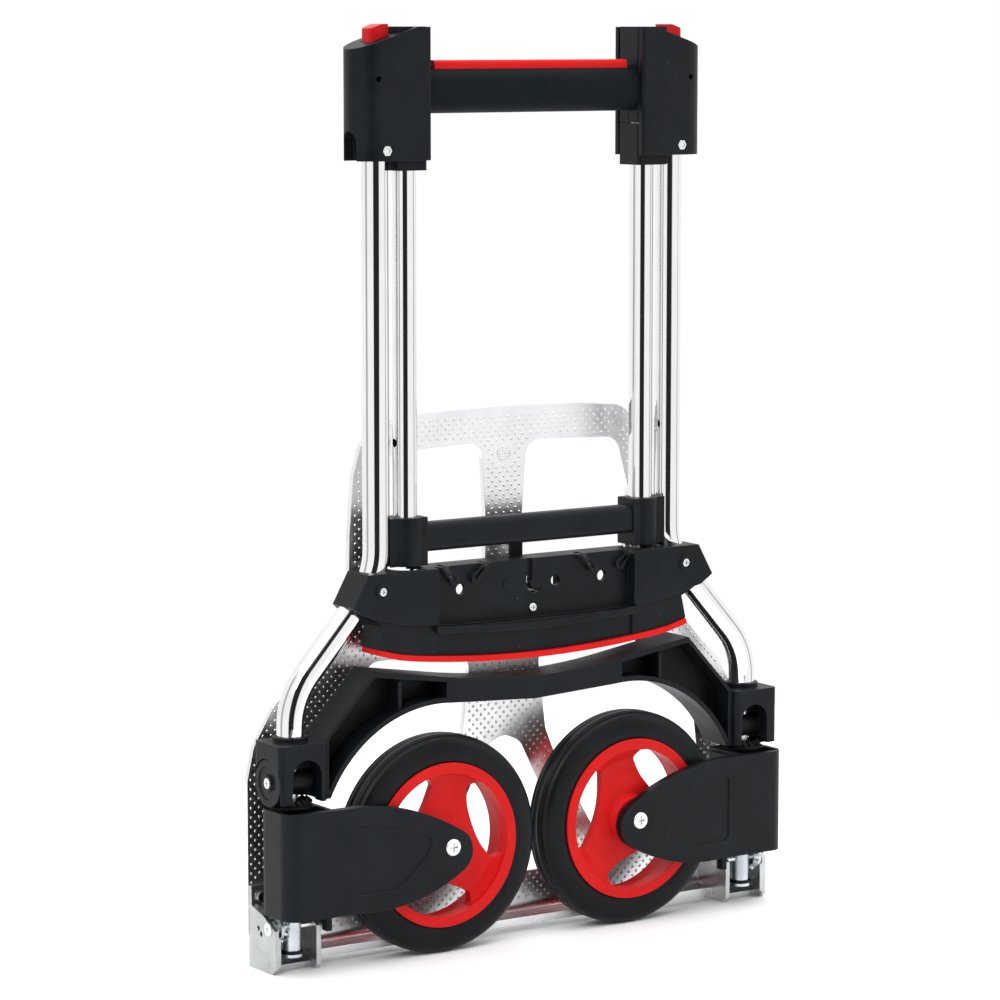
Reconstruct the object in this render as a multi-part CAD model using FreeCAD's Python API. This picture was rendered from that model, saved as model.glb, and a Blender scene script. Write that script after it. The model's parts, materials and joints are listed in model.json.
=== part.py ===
import FreeCAD, Part
import math
import os

# Convertible folding hand truck, drawn folded and standing on its toe-plate brackets.
# Millimetres. +X is to the right seen from behind, +Y points to the toe-plate side, +Z is up.
# The origin is on the floor, in the middle of the folded width and depth.

# Frame: two bent tubes that splay outwards to the wheel posts.
tube_r = 11.0
tube_wall = 1.5
frame_x = 144.0
post_x = 225.0
bend_top_z = 310.0
bend_low_z = 220.0
bend_radius = 60.0
tube_top_z = 680.0
tube_end_z = 170.0
plug_cap = 2.0

# Handle: two inner tubes that telescope beside the frame tubes.
inner_x = 116.6
inner_r = 10.0
inner_wall = 1.3
inner_top_z = 735.0
inner_low_z = 322.0
handle_stroke = 276.0
screw_r = 2.0
top_screw_z = 697.0
low_screw_z = 340.0

# Housings at the top of the frame.
housing_in_x = 103.2
housing_arc_x = 148.6
housing_half_y = 20.3
housing_low_z = 642.0
housing_top_z = 746.8
housing_top_flat_x = 116.0
housing_top_out_z = 729.0
block_half_y = 14.5
block_out_x = 131.0
block_low_z = 668.5
slide_gap = 0.4
housing_bolt_z = 650.0
bolt_r = 2.5
bolt_head_r = 4.4
bush_low_z = 634.0
bush_top_z = 668.0
latch_z = 693.0
spring_x = 152.6
button_half_y = 7.9
button_in_x = 135.9
button_low_z = 712.0
button_top_z = 749.0

# Grip, slider and lower bar.
grip_low_z = 678.5
grip_high_z = 715.5
grip_back_y = -16.0
grip_front_y = 14.0
inlay_top_z = 720.5
slider_top_z = 357.0
slider_low_z = 318.0
slider_in_x = 102.2
slider_r = 14.2
bar_low_z = 328.0
bar_high_z = 351.6
inlay_half_x = 94.0
inlay_inset_y = 6.0
inlay_sink = 4.0
inlay_corner = 3.0

# Hook plate between the frame tubes.
plate_top_z = 315.5
plate_back_y = -20.0
plate_front_y = 12.0
collar_r = 16.5
recess_half_x = 97.0
recess_y = -10.4
web_front_y = -6.0
ledge_z = 265.0
hook_hole_r = 4.5
hook_hole_z = 295.5
hook_hole_xs = (23.4, 70.0)
skirt_mid_z = 239.5
skirt_end_z = 254.0
skirt_end_x = 168.0
strip_height = 4.7
hook_slot_r = 1.9
hook_slot_z = 304.5
hook_slots = ((-78.0, 9.0), (-57.0, -12.0), (59.0, 11.0), (87.0, -12.0))
plate_screw_x = 150.0
plate_screw_z = 301.0
catch_screw_z = 275.0

# Cross frame and corner blocks.
cross_half_y = 16.0
wheel_arch_r = 115.0
cross_peak_x = 156.0
cross_peak_z = 237.0
pocket_in_x = 87.0
pocket_depth = 24.0
corner_in_x = 203.0
corner_out_x = 247.0
corner_low_z = 139.0
corner_top_z = 186.0
collar_height = 4.0
collar_thick = 3.0
corner_back_y = -22.0
corner_front_y = 20.0
disc_axis_z = 154.0
disc_pitch_r = 17.0
disc_r = 19.0
drum_r = 11.0
disc_screw_r = 2.2

# Pivot posts, sleeves and the toe-plate hinge.
post_r = 6.0
post_low_z = 12.0
post_top_z = 176.0
sleeve_r = 7.75
sleeve_low_z = 17.0
sleeve_top_z = 42.0
hinge_z = 36.0
hinge_r = 3.0
running_gap = 0.05
low_pitch_r = 11.5
tooth_half = 1.15
tooth_height = 2.3

# Wheel arms, wheels and axles.
arm_low_z = 47.0
arm_high_z = 133.0
arm_back_y = -34.3
arm_face_y = -26.6
hub_front_y = 16.0
wheel_x = 93.3
wheel_z = 90.0
tip_r = 19.0
tip_z = 86.0
tip_x = 93.0
wing_shoulder_x = 178.0
axle_r = 5.0
tyre_r = 89.8
rim_r = 67.5
tyre_back_y = -24.0
tyre_front_y = 6.0
bearing_r = 11.0
bearing_width = 7.0
bearing_starts = (-24.0, -2.4)

# Toe plate and its cast brackets.
toe_back_y = 31.0
toe_sheet = 1.8
toe_front_y = 35.8
toe_flange = 1.6
toe_corner_r = 22.0
window_corner_r = 15.0
toe_bend_r = 9.0
toe_bend_z = 18.0
toe_bend_half_x = 202.0
toe_lip_y = 10.0
toe_lip_z = 4.2
ear_back_y = -9.0
ear_outer_x = 246.0
ear_inner_x = 203.0
ear_thick = 4.0
rivet_xs = (214.0, 236.0)
rivet_z = 56.0
rivet_r = 2.5

mirror_plane = (FreeCAD.Vector(0, 0, 0), FreeCAD.Vector(1, 0, 0))
sides = (("left", -1), ("right", 1))


def vec(x, y, z):
    return FreeCAD.Vector(x, y, z)


def box(x0, y0, z0, x1, y1, z1):
    return Part.makeBox(x1 - x0, y1 - y0, z1 - z0, vec(x0, y0, z0))


def rod_x(x0, x1, y, z, r):
    return Part.makeCylinder(r, x1 - x0, vec(x0, y, z), vec(1, 0, 0))


def rod_y(y0, y1, x, z, r):
    return Part.makeCylinder(r, y1 - y0, vec(x, y0, z), vec(0, 1, 0))


def rod_z(z0, z1, x, y, r):
    return Part.makeCylinder(r, z1 - z0, vec(x, y, z0), vec(0, 0, 1))


def join(first, *others):
    return first.fuse(list(others)).removeSplitter()


def cut(shape, *tools):
    return shape.cut(list(tools)).removeSplitter()


def prism_xz(points, y0, y1):
    wire = Part.makePolygon([vec(x, y0, z) for x, z in points + points[:1]])
    return Part.Face(wire).extrude(vec(0, y1 - y0, 0))


def prism_yz(points, x0, x1):
    wire = Part.makePolygon([vec(x0, y, z) for y, z in points + points[:1]])
    return Part.Face(wire).extrude(vec(x1 - x0, 0, 0))


def rounded_edges(points, radius):
    """Edges of a closed or open run of points with tangent arcs at the inner points."""
    edges = []
    start = points[0]
    for i in range(1, len(points) - 1):
        corner = points[i]
        back = (points[i - 1] - corner).normalize()
        ahead = (points[i + 1] - corner).normalize()
        half = math.acos(max(-1.0, min(1.0, back.dot(ahead)))) / 2
        reach = radius / math.tan(half)
        first = corner + back * reach
        last = corner + ahead * reach
        middle_way = (back + ahead).normalize()
        centre = corner + middle_way * (radius / math.sin(half))
        middle = centre - middle_way * radius
        edges.append(Part.LineSegment(start, first).toShape())
        edges.append(Part.Arc(first, middle, last).toShape())
        start = last
    edges.append(Part.LineSegment(start, points[-1]).toShape())
    return edges


def mirrored(shape, side):
    if side > 0:
        return shape
    return shape.mirror(*mirror_plane)


def both_sides(shape):
    """A shape drawn on the right, and its mirror image on the left."""
    return [mirrored(shape, side) for label, side in sides]


def fillet_where(shape, radius, wanted):
    edges = [edge for edge in shape.Edges if wanted(edge)]
    return shape.makeFillet(radius, edges)


def vertical_edge(edge):
    box_of = edge.BoundBox
    return box_of.XLength < 1e-6 and box_of.YLength < 1e-6


def along_x(edge):
    box_of = edge.BoundBox
    return box_of.YLength < 1e-6 and box_of.ZLength < 1e-6


# ---- frame tubes ----

def frame_path():
    points = [vec(frame_x, 0, tube_top_z), vec(frame_x, 0, bend_top_z),
              vec(post_x, 0, bend_low_z), vec(post_x, 0, tube_end_z)]
    return Part.Wire(rounded_edges(points, bend_radius))


def frame_bar(radius):
    circle = Part.Circle(vec(frame_x, 0, tube_top_z), vec(0, 0, -1), radius)
    profile = Part.Face(Part.Wire(circle.toShape()))
    return frame_path().makePipe(profile)


def frame_tube():
    tube = frame_bar(tube_r).cut(frame_bar(tube_r - tube_wall))
    bolt_hole = rod_y(-tube_r - 1, tube_r + 1, frame_x, housing_bolt_z, bolt_r)
    socket = rod_z(tube_end_z, post_top_z, post_x, 0, post_r)
    return cut(tube, bolt_hole, socket)


def tube_plug():
    cap_top = tube_top_z + plug_cap
    cap = rod_z(tube_top_z, cap_top, frame_x, 0, tube_r)
    shank = rod_z(tube_top_z - 12, tube_top_z, frame_x, 0, tube_r - tube_wall)
    seat = rod_z(tube_top_z - 4, cap_top, frame_x, 0, 5.0)
    return cut(join(cap, shank), seat)


# ---- top housings ----

def housing_outline(inset, z0, z1):
    half = housing_half_y - inset
    slab = box(housing_in_x + inset, -half, z0, housing_arc_x, half, z1)
    return join(slab, rod_z(z0, z1, housing_arc_x, 0, half))


def housing_block():
    far_x = housing_arc_x + housing_half_y + 1
    lid_z = housing_top_z + 1
    deep_y = block_half_y + slide_gap
    room_y = button_half_y + 0.5
    outer = housing_outline(0, housing_low_z, housing_top_z)
    slope = prism_xz([(housing_top_flat_x, housing_top_z), (far_x, housing_top_out_z),
                      (far_x, lid_z + 4), (housing_top_flat_x, lid_z + 4)], -30, 30)
    outer = cut(outer, slope)
    outer = fillet_where(outer, 2.0, lambda e: vertical_edge(e) and e.BoundBox.XMax < housing_in_x + 1)
    channel = box(housing_in_x - 1, -deep_y, bush_top_z, block_out_x + slide_gap, deep_y, lid_z)
    bush_room = box(housing_in_x - 1, -block_half_y, housing_low_z - 1, block_out_x, block_half_y, bush_top_z)
    tube_bore = rod_z(housing_low_z - 1, tube_top_z + plug_cap, frame_x, 0, tube_r)
    button_room = box(block_out_x + 2.0, -room_y, tube_top_z + plug_cap, 157.0, room_y, 728.0)
    button_mouth = box(button_in_x - 0.5, -room_y, 720.0, 152.6, room_y, lid_z)
    pin_way = rod_x(block_out_x - 1, block_out_x + 3, 0, latch_z, 3.1)
    notch_r = 9.5
    notch_z = housing_low_z + 14
    notch = box(157.5, -notch_r, housing_low_z - 1, 175, notch_r, notch_z)
    notch_top = rod_x(157.5, 175, 0, notch_z, notch_r)
    return cut(outer, channel, bush_room, tube_bore, button_room, button_mouth, pin_way, notch, notch_top)


def housing_rear_shell():
    skin = -housing_half_y
    mark_depth = 0.3
    half = housing_block().common(box(90, -40, 600, 190, 0, 800))
    bolt_hole = rod_y(-40, 0, frame_x, housing_bolt_z, bolt_r)
    nut_room = rod_y(skin - 1, skin + 4.5, frame_x, housing_bolt_z, bolt_head_r + 0.2)
    window = rod_y(skin - 1, -8.0, 152.0, 706.0, 2.5)
    mark_high = rod_y(skin - 1, skin + mark_depth, 140.0, 706.0, 4.0)
    mark_low = rod_y(skin - 1, skin + mark_depth, 126.0, 655.0, 3.0)
    return cut(half, bolt_hole, nut_room, window, mark_high, mark_low)


def housing_front_shell():
    head_y = housing_half_y - 3.0
    half = housing_block().common(box(90, 0, 600, 190, 40, 800))
    bolt_hole = rod_y(0, 40, frame_x, housing_bolt_z, bolt_r)
    head_room = rod_y(head_y, housing_half_y + 1, frame_x, housing_bolt_z, bolt_head_r + 0.2)
    return cut(half, bolt_hole, head_room)


def housing_bolt():
    head_y = housing_half_y - 3.0
    shank = rod_y(-housing_half_y + 1.4, head_y, frame_x, housing_bolt_z, bolt_r)
    head = rod_y(head_y, housing_half_y - 0.2, frame_x, housing_bolt_z, bolt_head_r)
    socket = rod_y(housing_half_y - 1.8, housing_half_y, frame_x, housing_bolt_z, 1.6)
    return cut(join(shank, head), socket)


def hexagon_y(y0, y1, x, z, across):
    radius = across / math.sqrt(3)
    points = []
    for i in range(6):
        angle = math.radians(60 * i)
        points.append((x + radius * math.cos(angle), z + radius * math.sin(angle)))
    return prism_xz(points, y0, y1)


def housing_nut():
    y0 = -housing_half_y + 0.8
    nut = hexagon_y(y0, -housing_half_y + 4.5, frame_x, housing_bolt_z, 7.6)
    return cut(nut, rod_y(y0 - 1, 0, frame_x, housing_bolt_z, bolt_r))


def guide_bush():
    body = box(housing_in_x, -block_half_y, bush_low_z, block_out_x, block_half_y, bush_top_z)
    body = fillet_where(body, 3.0, lambda e: vertical_edge(e) and e.BoundBox.XMax < housing_in_x + 1)
    tube_saddle = rod_z(bush_low_z - 1, bush_top_z + 1, frame_x, 0, tube_r)
    slide_bore = rod_z(bush_low_z - 1, bush_top_z + 1, inner_x, 0, inner_r + running_gap)
    return cut(body, slide_bore, tube_saddle)


# ---- push buttons and latch pins ----

def release_button():
    cap_low = button_low_z + 9
    y = button_half_y
    stem = box(138.0, -6.0, 703.5, 149.5, 6.0, button_low_z)
    body = box(button_in_x, -y, button_low_z, 155.0, y, cap_low)
    cap = box(button_in_x, -y, cap_low, 152.1, y, button_top_z)
    cap = fillet_where(cap, 4.0, lambda e: vertical_edge(e) and e.BoundBox.XMin > 150)
    high = button_top_z + 0.5
    slope = prism_xz([(134, high), (140, high), (156, high - 5.5), (156, high + 3), (134, high + 3)], -10, 10)
    wedge = prism_xz([(139.0, 704.0), (142.0, 704.0), (142.0, 697.0), (139.0, 692.0)], -2.0, 2.0)
    return join(stem, body, cut(cap, slope), wedge)


def latch_pin():
    """Forked pin: the button's wedge drops through its slot and draws it off the inner tube."""
    tip = rod_x(block_out_x + 0.35, 134.0, 0, latch_z, 3.0)
    fork = box(133.6, -4.5, latch_z - 4.0, 145.5, 4.5, latch_z + 4.5)
    slot = prism_xz([(135.6, 688.0), (139.4, 688.0), (139.4, 692.0), (142.7, 697.6), (142.7, 699.0),
                     (135.6, 699.0)], -2.4, 2.4)
    return cut(join(tip, fork), slot)


def coil_spring(x, y, z0, z1, radius, wire_r, turns):
    pitch = (z1 - z0 - 2 * wire_r) / turns
    helix = Part.makeHelix(pitch, pitch * turns, radius)
    helix.translate(vec(x, y, z0 + wire_r))
    start = vec(x + radius, y, z0 + wire_r)
    circle = Part.Wire(Part.Circle(start, vec(0, 1, pitch / (2 * math.pi * radius)), wire_r).toShape())
    return Part.Wire(helix.Edges).makePipeShell([circle], True, True)


def button_spring():
    return coil_spring(spring_x, 0, tube_top_z + plug_cap + 0.1, button_low_z - 0.1, 2.0, 0.35, 8)


# ---- moving handle ----

def handle_end():
    body = box(housing_in_x, -block_half_y, block_low_z, block_out_x, block_half_y, 747.0)
    body = fillet_where(body, 3.0, lambda e: vertical_edge(e) and e.BoundBox.XMax < housing_in_x + 1)
    body = cut(body, rod_z(block_low_z - 1, inner_top_z, inner_x, 0, inner_r))
    screw_way = rod_x(housing_in_x - 1, inner_x, 0, top_screw_z, screw_r)
    seam = box(housing_in_x - 1, -0.4, block_low_z - 1, housing_in_x + 0.6, 0.4, grip_low_z)
    return cut(body, screw_way, seam)


def inner_tube():
    tube = rod_z(inner_low_z, inner_top_z, inner_x, 0, inner_r)
    bore = rod_z(inner_low_z - 1, inner_top_z + 1, inner_x, 0, inner_r - inner_wall)
    latch_holes = [rod_x(inner_x, inner_x + 15, 0, z, 3.4) for z in (latch_z, latch_z - handle_stroke)]
    screw_holes = [rod_x(inner_x - 15, inner_x, 0, z, screw_r) for z in (low_screw_z, top_screw_z)]
    return cut(tube, bore, *(screw_holes + latch_holes))


def oval_bar(x0, x1, y0, y1, z0, z1, corner):
    bar = box(x0, y0, z0, x1, y1, z1)
    return fillet_where(bar, corner, along_x)


def end_screw_holes(end_x, z):
    """Screw holes in both ends of a bar that lies along X."""
    depth = 12
    return [rod_x(-end_x - 1, depth - end_x, 0, z, screw_r), rod_x(end_x - depth, end_x + 1, 0, z, screw_r)]


def inlay_shape(top_z):
    return oval_bar(-inlay_half_x, inlay_half_x, grip_back_y + inlay_inset_y, grip_front_y - inlay_inset_y,
                    grip_high_z - inlay_sink, top_z, inlay_corner)


def grip_core():
    bar = oval_bar(-housing_in_x, housing_in_x, grip_back_y, grip_front_y, grip_low_z, grip_high_z, 13.0)
    bed = inlay_shape(grip_high_z + 6)
    return cut(bar, bed, *end_screw_holes(housing_in_x, top_screw_z))


def grip_inlay():
    return inlay_shape(inlay_top_z)


def slider_block():
    barrel = rod_z(slider_low_z, slider_top_z, inner_x, 0, slider_r)
    inner_pad = box(slider_in_x, -11.5, slider_low_z, inner_x, 12.0, slider_top_z)
    wing = box(inner_x, -8.0, slider_low_z, 139.0, 8.0, slider_top_z)
    block = join(barrel, inner_pad, wing)
    way = join(frame_bar(tube_r + 0.3), rod_z(300, 400, frame_x, 0, tube_r + 0.3))
    bore = rod_z(inner_low_z, slider_top_z + 1, inner_x, 0, inner_r)
    screw_way = rod_x(slider_in_x - 1, inner_x, 0, low_screw_z, screw_r)
    return cut(block, way, bore, screw_way)


def slider_bar():
    bar = oval_bar(-slider_in_x, slider_in_x, -10.0, 8.0, bar_low_z, bar_high_z, 6.0)
    return cut(bar, *end_screw_holes(slider_in_x, low_screw_z))


def cross_screw(x0, z):
    """A screw along X whose head lies inside the inner tube and whose shank runs inwards."""
    head_x = inner_x - inner_r + inner_wall + 1.4
    shank = rod_x(x0 - 11, head_x, 0, z, screw_r)
    head = rod_x(head_x, head_x + 2.2, 0, z, 3.6)
    return join(shank, head)


def handle_screws():
    top = cross_screw(housing_in_x, top_screw_z)
    low = cross_screw(slider_in_x, low_screw_z)
    return Part.Compound(both_sides(top) + both_sides(low))


# ---- hook plate ----

def hook_outline():
    """Face of the plate: straight shoulders, and one long arc along the bottom."""
    side = [(skirt_end_x, skirt_end_z), (160.5, 273.0), (189.0, 290.0), (165.0, plate_top_z)]
    corners = [(-x, z) for x, z in side] + side[::-1]
    points = [vec(x, 0, z) for x, z in corners]
    edges = [Part.LineSegment(a, b).toShape() for a, b in zip(points, points[1:])]
    edges.append(Part.Arc(points[-1], vec(0, 0, skirt_mid_z), points[0]).toShape())
    return Part.Face(Part.Wire(edges))


def leaning_bar(x, lean, half_top, half_low, z_top, y0, y1):
    """Bar from the top edge down to a round end, with its top moved sideways by the lean."""
    z_low = hook_slot_z
    bar = prism_xz([(x - half_top - lean, z_top), (x + half_top - lean, z_top),
                    (x + half_low, z_low), (x - half_low, z_low)], y0, y1)
    return join(bar, rod_y(y0, y1, x, z_low, half_low))


def hook_plate_slab():
    face = hook_outline()
    wide_half = collar_r + 4
    low_of_web = skirt_mid_z + 22
    slab = face.extrude(vec(0, plate_front_y - plate_back_y, 0))
    slab.translate(vec(0, plate_back_y, 0))
    wide = face.extrude(vec(0, 2 * wide_half, 0))
    wide.translate(vec(0, -wide_half, 0))
    recess = box(-recess_half_x, plate_back_y - 1, ledge_z + 2, recess_half_x, recess_y, plate_top_z + 1)
    skirt_inset = box(-recess_half_x, plate_back_y - 1, 230, recess_half_x, -15.0, ledge_z - 3)
    under_wing = prism_xz([(200.0, 294.0), (170.0, 282.0), (130.0, 273.0), (recess_half_x, 269.5),
                           (recess_half_x, 230.0), (200.0, 230.0)], plate_back_y - 1, plate_back_y + 3)
    hollow = box(-126, web_front_y, low_of_web, 126, plate_front_y + 1, plate_top_z - 3)
    low_hollow = box(-146, -11.0, 230, 146, plate_front_y + 1, low_of_web - 3)
    collars = [collar.common(wide) for collar in both_sides(frame_bar(collar_r))]
    body = cut(slab, recess, skirt_inset, hollow, low_hollow, *both_sides(under_wing))
    return join(body, *collars)


def hook_plate():
    """Plate with a ledge, four ribbed hook slots, a middle channel and the cord holes."""
    mouth_y = plate_back_y - 3
    bosses = both_sides(rod_y(plate_back_y - 1.5, 0, plate_screw_x, plate_screw_z, 6.5))
    ledge_top = [(-100, 269), (-50, 265.4), (0, 264), (50, 265.4), (100, 269)]
    ledge_low = [(x, z - 5) for x, z in ledge_top[::-1]]
    ledge = prism_xz(ledge_top + ledge_low, plate_back_y - 2.5, web_front_y)
    ribs = [leaning_bar(x, lean, 5.2, 4.8, plate_top_z, recess_y - 3.5, recess_y + 1) for x, lean in hook_slots]
    cross_ribs = [box(x - 1.25, web_front_y, 262, x + 1.25, plate_front_y - 2, plate_top_z - 3)
                  for x in (-105, -36, 36, 105)]
    body = join(hook_plate_slab(), ledge, *(bosses + ribs + cross_ribs))
    slots = [leaning_bar(x, lean, 2.2, hook_slot_r, plate_top_z + 1, -30, 0) for x, lean in hook_slots]
    holes = [rod_y(-30, 20, side * x, hook_hole_z, hook_hole_r) for x in hook_hole_xs for side in (-1, 1)]
    channel = box(-5.6, -30, 297, 0.4, recess_y + 2.6, plate_top_z + 1)
    crescent = cut(rod_y(-30, 0, 2.6, 295.0, 8.2), rod_y(-31, 1, 5.2, 297.6, 7.6))
    centre_hole = rod_y(-30, 0, 0, catch_screw_z, screw_r)
    tube_ways = both_sides(frame_bar(tube_r))
    screw_holes = both_sides(rod_y(mouth_y, -8, plate_screw_x, plate_screw_z, screw_r))
    head_rooms = both_sides(rod_y(mouth_y, plate_back_y + 1.5, plate_screw_x, plate_screw_z, 4.2))
    handle_ways = both_sides(rod_z(300, 330, inner_x, 0, slider_r + 0.5))
    return cut(body, channel, crescent, centre_hole,
               *(slots + holes + tube_ways + screw_holes + head_rooms + handle_ways))


def bumper_strip():
    face = hook_outline()
    slab = face.extrude(vec(0, plate_front_y - plate_back_y - 3.0, 0))
    slab.translate(vec(0, plate_back_y + 1.0, 0))
    lower = slab.copy()
    lower.translate(vec(0, 0, -strip_height))
    strip = lower.cut(slab)
    keep = box(-skirt_end_x - 1, -40, 200, skirt_end_x + 1, 40, skirt_end_z + 1)
    strip = strip.common(keep)
    above = box(-200, -40, skirt_end_z - 0.5, 200, 40, 400)
    return strip.cut(above)


def pan_screw_y(x, z, y_face, head_r, head_h, shank_r, length):
    """Screw along Y whose head lies behind y_face and whose shank runs forwards."""
    head = rod_y(y_face - head_h, y_face, x, z, head_r)
    head = fillet_where(head, head_h * 0.45, lambda e: abs(e.BoundBox.YMax - (y_face - head_h)) < 1e-6)
    shank = rod_y(y_face, y_face + length, x, z, shank_r)
    slot_a = box(x - head_r * 0.55, y_face - head_h - 1, z - 0.45, x + head_r * 0.55, y_face - 0.6, z + 0.45)
    slot_b = box(x - 0.45, y_face - head_h - 1, z - head_r * 0.55, x + 0.45, y_face - 0.6, z + head_r * 0.55)
    return cut(join(head, shank), slot_a, slot_b)


def hook_plate_screws():
    side = pan_screw_y(plate_screw_x, plate_screw_z, plate_back_y + 1.5, 3.8, 2.4, screw_r, 7.2)
    middle = pan_screw_y(0, catch_screw_z, recess_y, 3.6, 2.2, screw_r, 14.0)
    return Part.Compound(both_sides(side) + [middle])


def hook_rivet():
    """Rivet that closes the left one of the two middle cord holes."""
    x = -hook_hole_xs[0]
    shank = rod_y(recess_y, web_front_y, x, hook_hole_z, hook_hole_r)
    head = rod_y(recess_y - 0.7, recess_y, x, hook_hole_z, hook_hole_r + 0.6)
    return join(shank, head)


def plate_catch():
    """Springy clip whose hook holds the folded toe plate."""
    shelf_z = 284.0
    hook_z = 331.0
    tab_y = 12.3
    stem = box(-7.0, web_front_y, 266.0, 7.0, -2.0, shelf_z)
    shelf = box(-7.0, web_front_y, shelf_z, 7.0, 19.0, shelf_z + 4)
    tab = box(-6.0, tab_y, shelf_z, 6.0, tab_y + 3, hook_z)
    hook = box(-6.0, tab_y, hook_z - 4, 6.0, 19.5, hook_z)
    return cut(join(stem, shelf, tab, hook), rod_y(-30, 10, 0, catch_screw_z, screw_r))


# ---- cross frame and corner blocks ----

def arch_point(angle, radius):
    turn = math.radians(angle)
    return vec(wheel_x + radius * math.cos(turn), 0, wheel_z + radius * math.sin(turn))


def half_cross_face(inset, x_start):
    """Face of one half of the arched frame, between its top edge and the wheel arch."""
    radius = wheel_arch_r + inset
    start_angle = 96.0
    end_angle = math.degrees(math.asin((corner_low_z + inset - wheel_z) / radius))
    low_start = arch_point(start_angle, radius)
    low_middle = arch_point((start_angle + end_angle) / 2, radius)
    low_end = arch_point(end_angle, radius)
    low_corner = vec(corner_in_x, 0, corner_low_z + inset)
    low_first = vec(x_start, 0, 200.0 + inset)
    beam_end = vec(pocket_in_x, 0, 226.0 - inset)
    beam_start = vec(x_start, 0, 219.0 - inset)
    beam_middle = vec((pocket_in_x + x_start) / 2, 0, 220.7 - inset)
    top = [vec(corner_in_x, 0, corner_top_z - inset), vec(cross_peak_x, 0, cross_peak_z - inset * 1.2), beam_end]
    edges = [Part.LineSegment(low_first, low_start).toShape(),
             Part.Arc(low_start, low_middle, low_end).toShape(),
             Part.LineSegment(low_end, low_corner).toShape(), Part.LineSegment(low_corner, top[0]).toShape()]
    edges += [Part.LineSegment(a, b).toShape() for a, b in zip(top, top[1:])]
    edges += [Part.Arc(beam_end, beam_middle, beam_start).toShape(),
              Part.LineSegment(beam_start, low_first).toShape()]
    return Part.Face(Part.Wire(edges))


def cross_slab(inset, x_start, y0, depth):
    slab = half_cross_face(inset, x_start).extrude(vec(0, depth, 0))
    slab.translate(vec(0, y0, 0))
    return slab


def cross_frame():
    """Arched frame: pockets open backwards beside the wheels, and forwards in the middle."""
    wall = 4.0
    back_y = -cross_half_y
    half = cross_slab(0.0, 0.0, back_y, 2 * cross_half_y)
    back_pocket = cross_slab(wall, 0.0, back_y - 1, pocket_depth).common(
        box(pocket_in_x, -40, 100, corner_in_x - wall, 40, 260))
    front_pocket = cross_slab(wall, -1.0, back_y + 3.5, pocket_depth).common(
        box(-1.0, -40, 100, pocket_in_x - wall, 40, 260))
    rib = box(128.0, back_y + 4, 196, 131.0, -back_y - 4, 226)
    half = half.cut([back_pocket, front_pocket]).fuse(rib.common(cross_slab(2.0, 0.0, -30, 60)))
    return half.fuse(half.mirror(*mirror_plane)).removeSplitter()


def corner_block():
    below = corner_low_z - 1
    disc_x = 236.6
    disc_room_r = disc_r + 0.8
    window_arch_z = 160.0
    body = box(corner_in_x, corner_back_y, corner_low_z, corner_out_x, corner_front_y, corner_top_z)
    body = fillet_where(body, 5.0, vertical_edge)
    collar = rod_z(corner_top_z - 1, corner_top_z + collar_height, post_x, 0, tube_r + collar_thick)
    window = box(209.0, corner_back_y - 1, below, 236.0, -4.0, window_arch_z + 3)
    window_arch = rod_y(corner_back_y - 1, -4.0, 222.5, window_arch_z, 13.4)
    drum = rod_x(210.0, 236.0, 0, disc_axis_z - 1, drum_r)
    gear_room = rod_z(below, 142.2, post_x, 0, 19.6)
    disc_room = rod_x(disc_x, corner_out_x + 1, 0, disc_axis_z, disc_room_r)
    disc_open = box(disc_x, -disc_room_r, below, corner_out_x + 1, disc_room_r, disc_axis_z)
    tube_room = rod_z(tube_end_z, corner_top_z + collar_height + 1, post_x, 0, tube_r)
    bore = rod_z(below, post_top_z, post_x, 0, post_r)
    screw_bore = rod_x(post_x + post_r + 1, 240, 0, disc_axis_z, disc_screw_r)
    body = cut(body, window, window_arch, gear_room, disc_room, disc_open)
    return cut(join(body, drum, collar), tube_room, bore, screw_bore, gear_room)


# ---- posts, sleeves and hinge bolts ----

def pivot_post():
    post = rod_z(post_low_z, post_top_z, post_x, 0, post_r)
    foot = rod_z(post_low_z, 14.5, post_x, 0, 9.0)
    return cut(join(post, foot), rod_x(post_x - 20, post_x + 20, 0, hinge_z, hinge_r))


def post_washer():
    washer = rod_z(14.5, sleeve_low_z, post_x, 0, 9.2)
    return cut(washer, rod_z(10, 20, post_x, 0, post_r))


def spacer_sleeve():
    sleeve = rod_z(sleeve_low_z, sleeve_top_z, post_x, 0, sleeve_r)
    return cut(sleeve, rod_z(10, 50, post_x, 0, post_r), rod_x(post_x - 20, post_x + 20, 0, hinge_z, hinge_r))


def hinge_bolt():
    head_x = ear_inner_x - 5.4
    outer_head_r = 5.5
    shank = rod_x(head_x, ear_outer_x, 0, hinge_z, hinge_r)
    head = rod_x(head_x, head_x + 5.0, 0, hinge_z, 5.0)
    outer_head = rod_x(ear_outer_x, ear_outer_x + 1.2, 0, hinge_z, outer_head_r)
    outer_head = fillet_where(outer_head, 0.5, lambda e: e.BoundBox.XMin > ear_outer_x + 1)
    socket = rod_x(ear_outer_x + 0.2, ear_outer_x + 2, 0, hinge_z, 1.8)
    return cut(join(shank, head, outer_head), socket)


# ---- bevel gears ----

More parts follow.
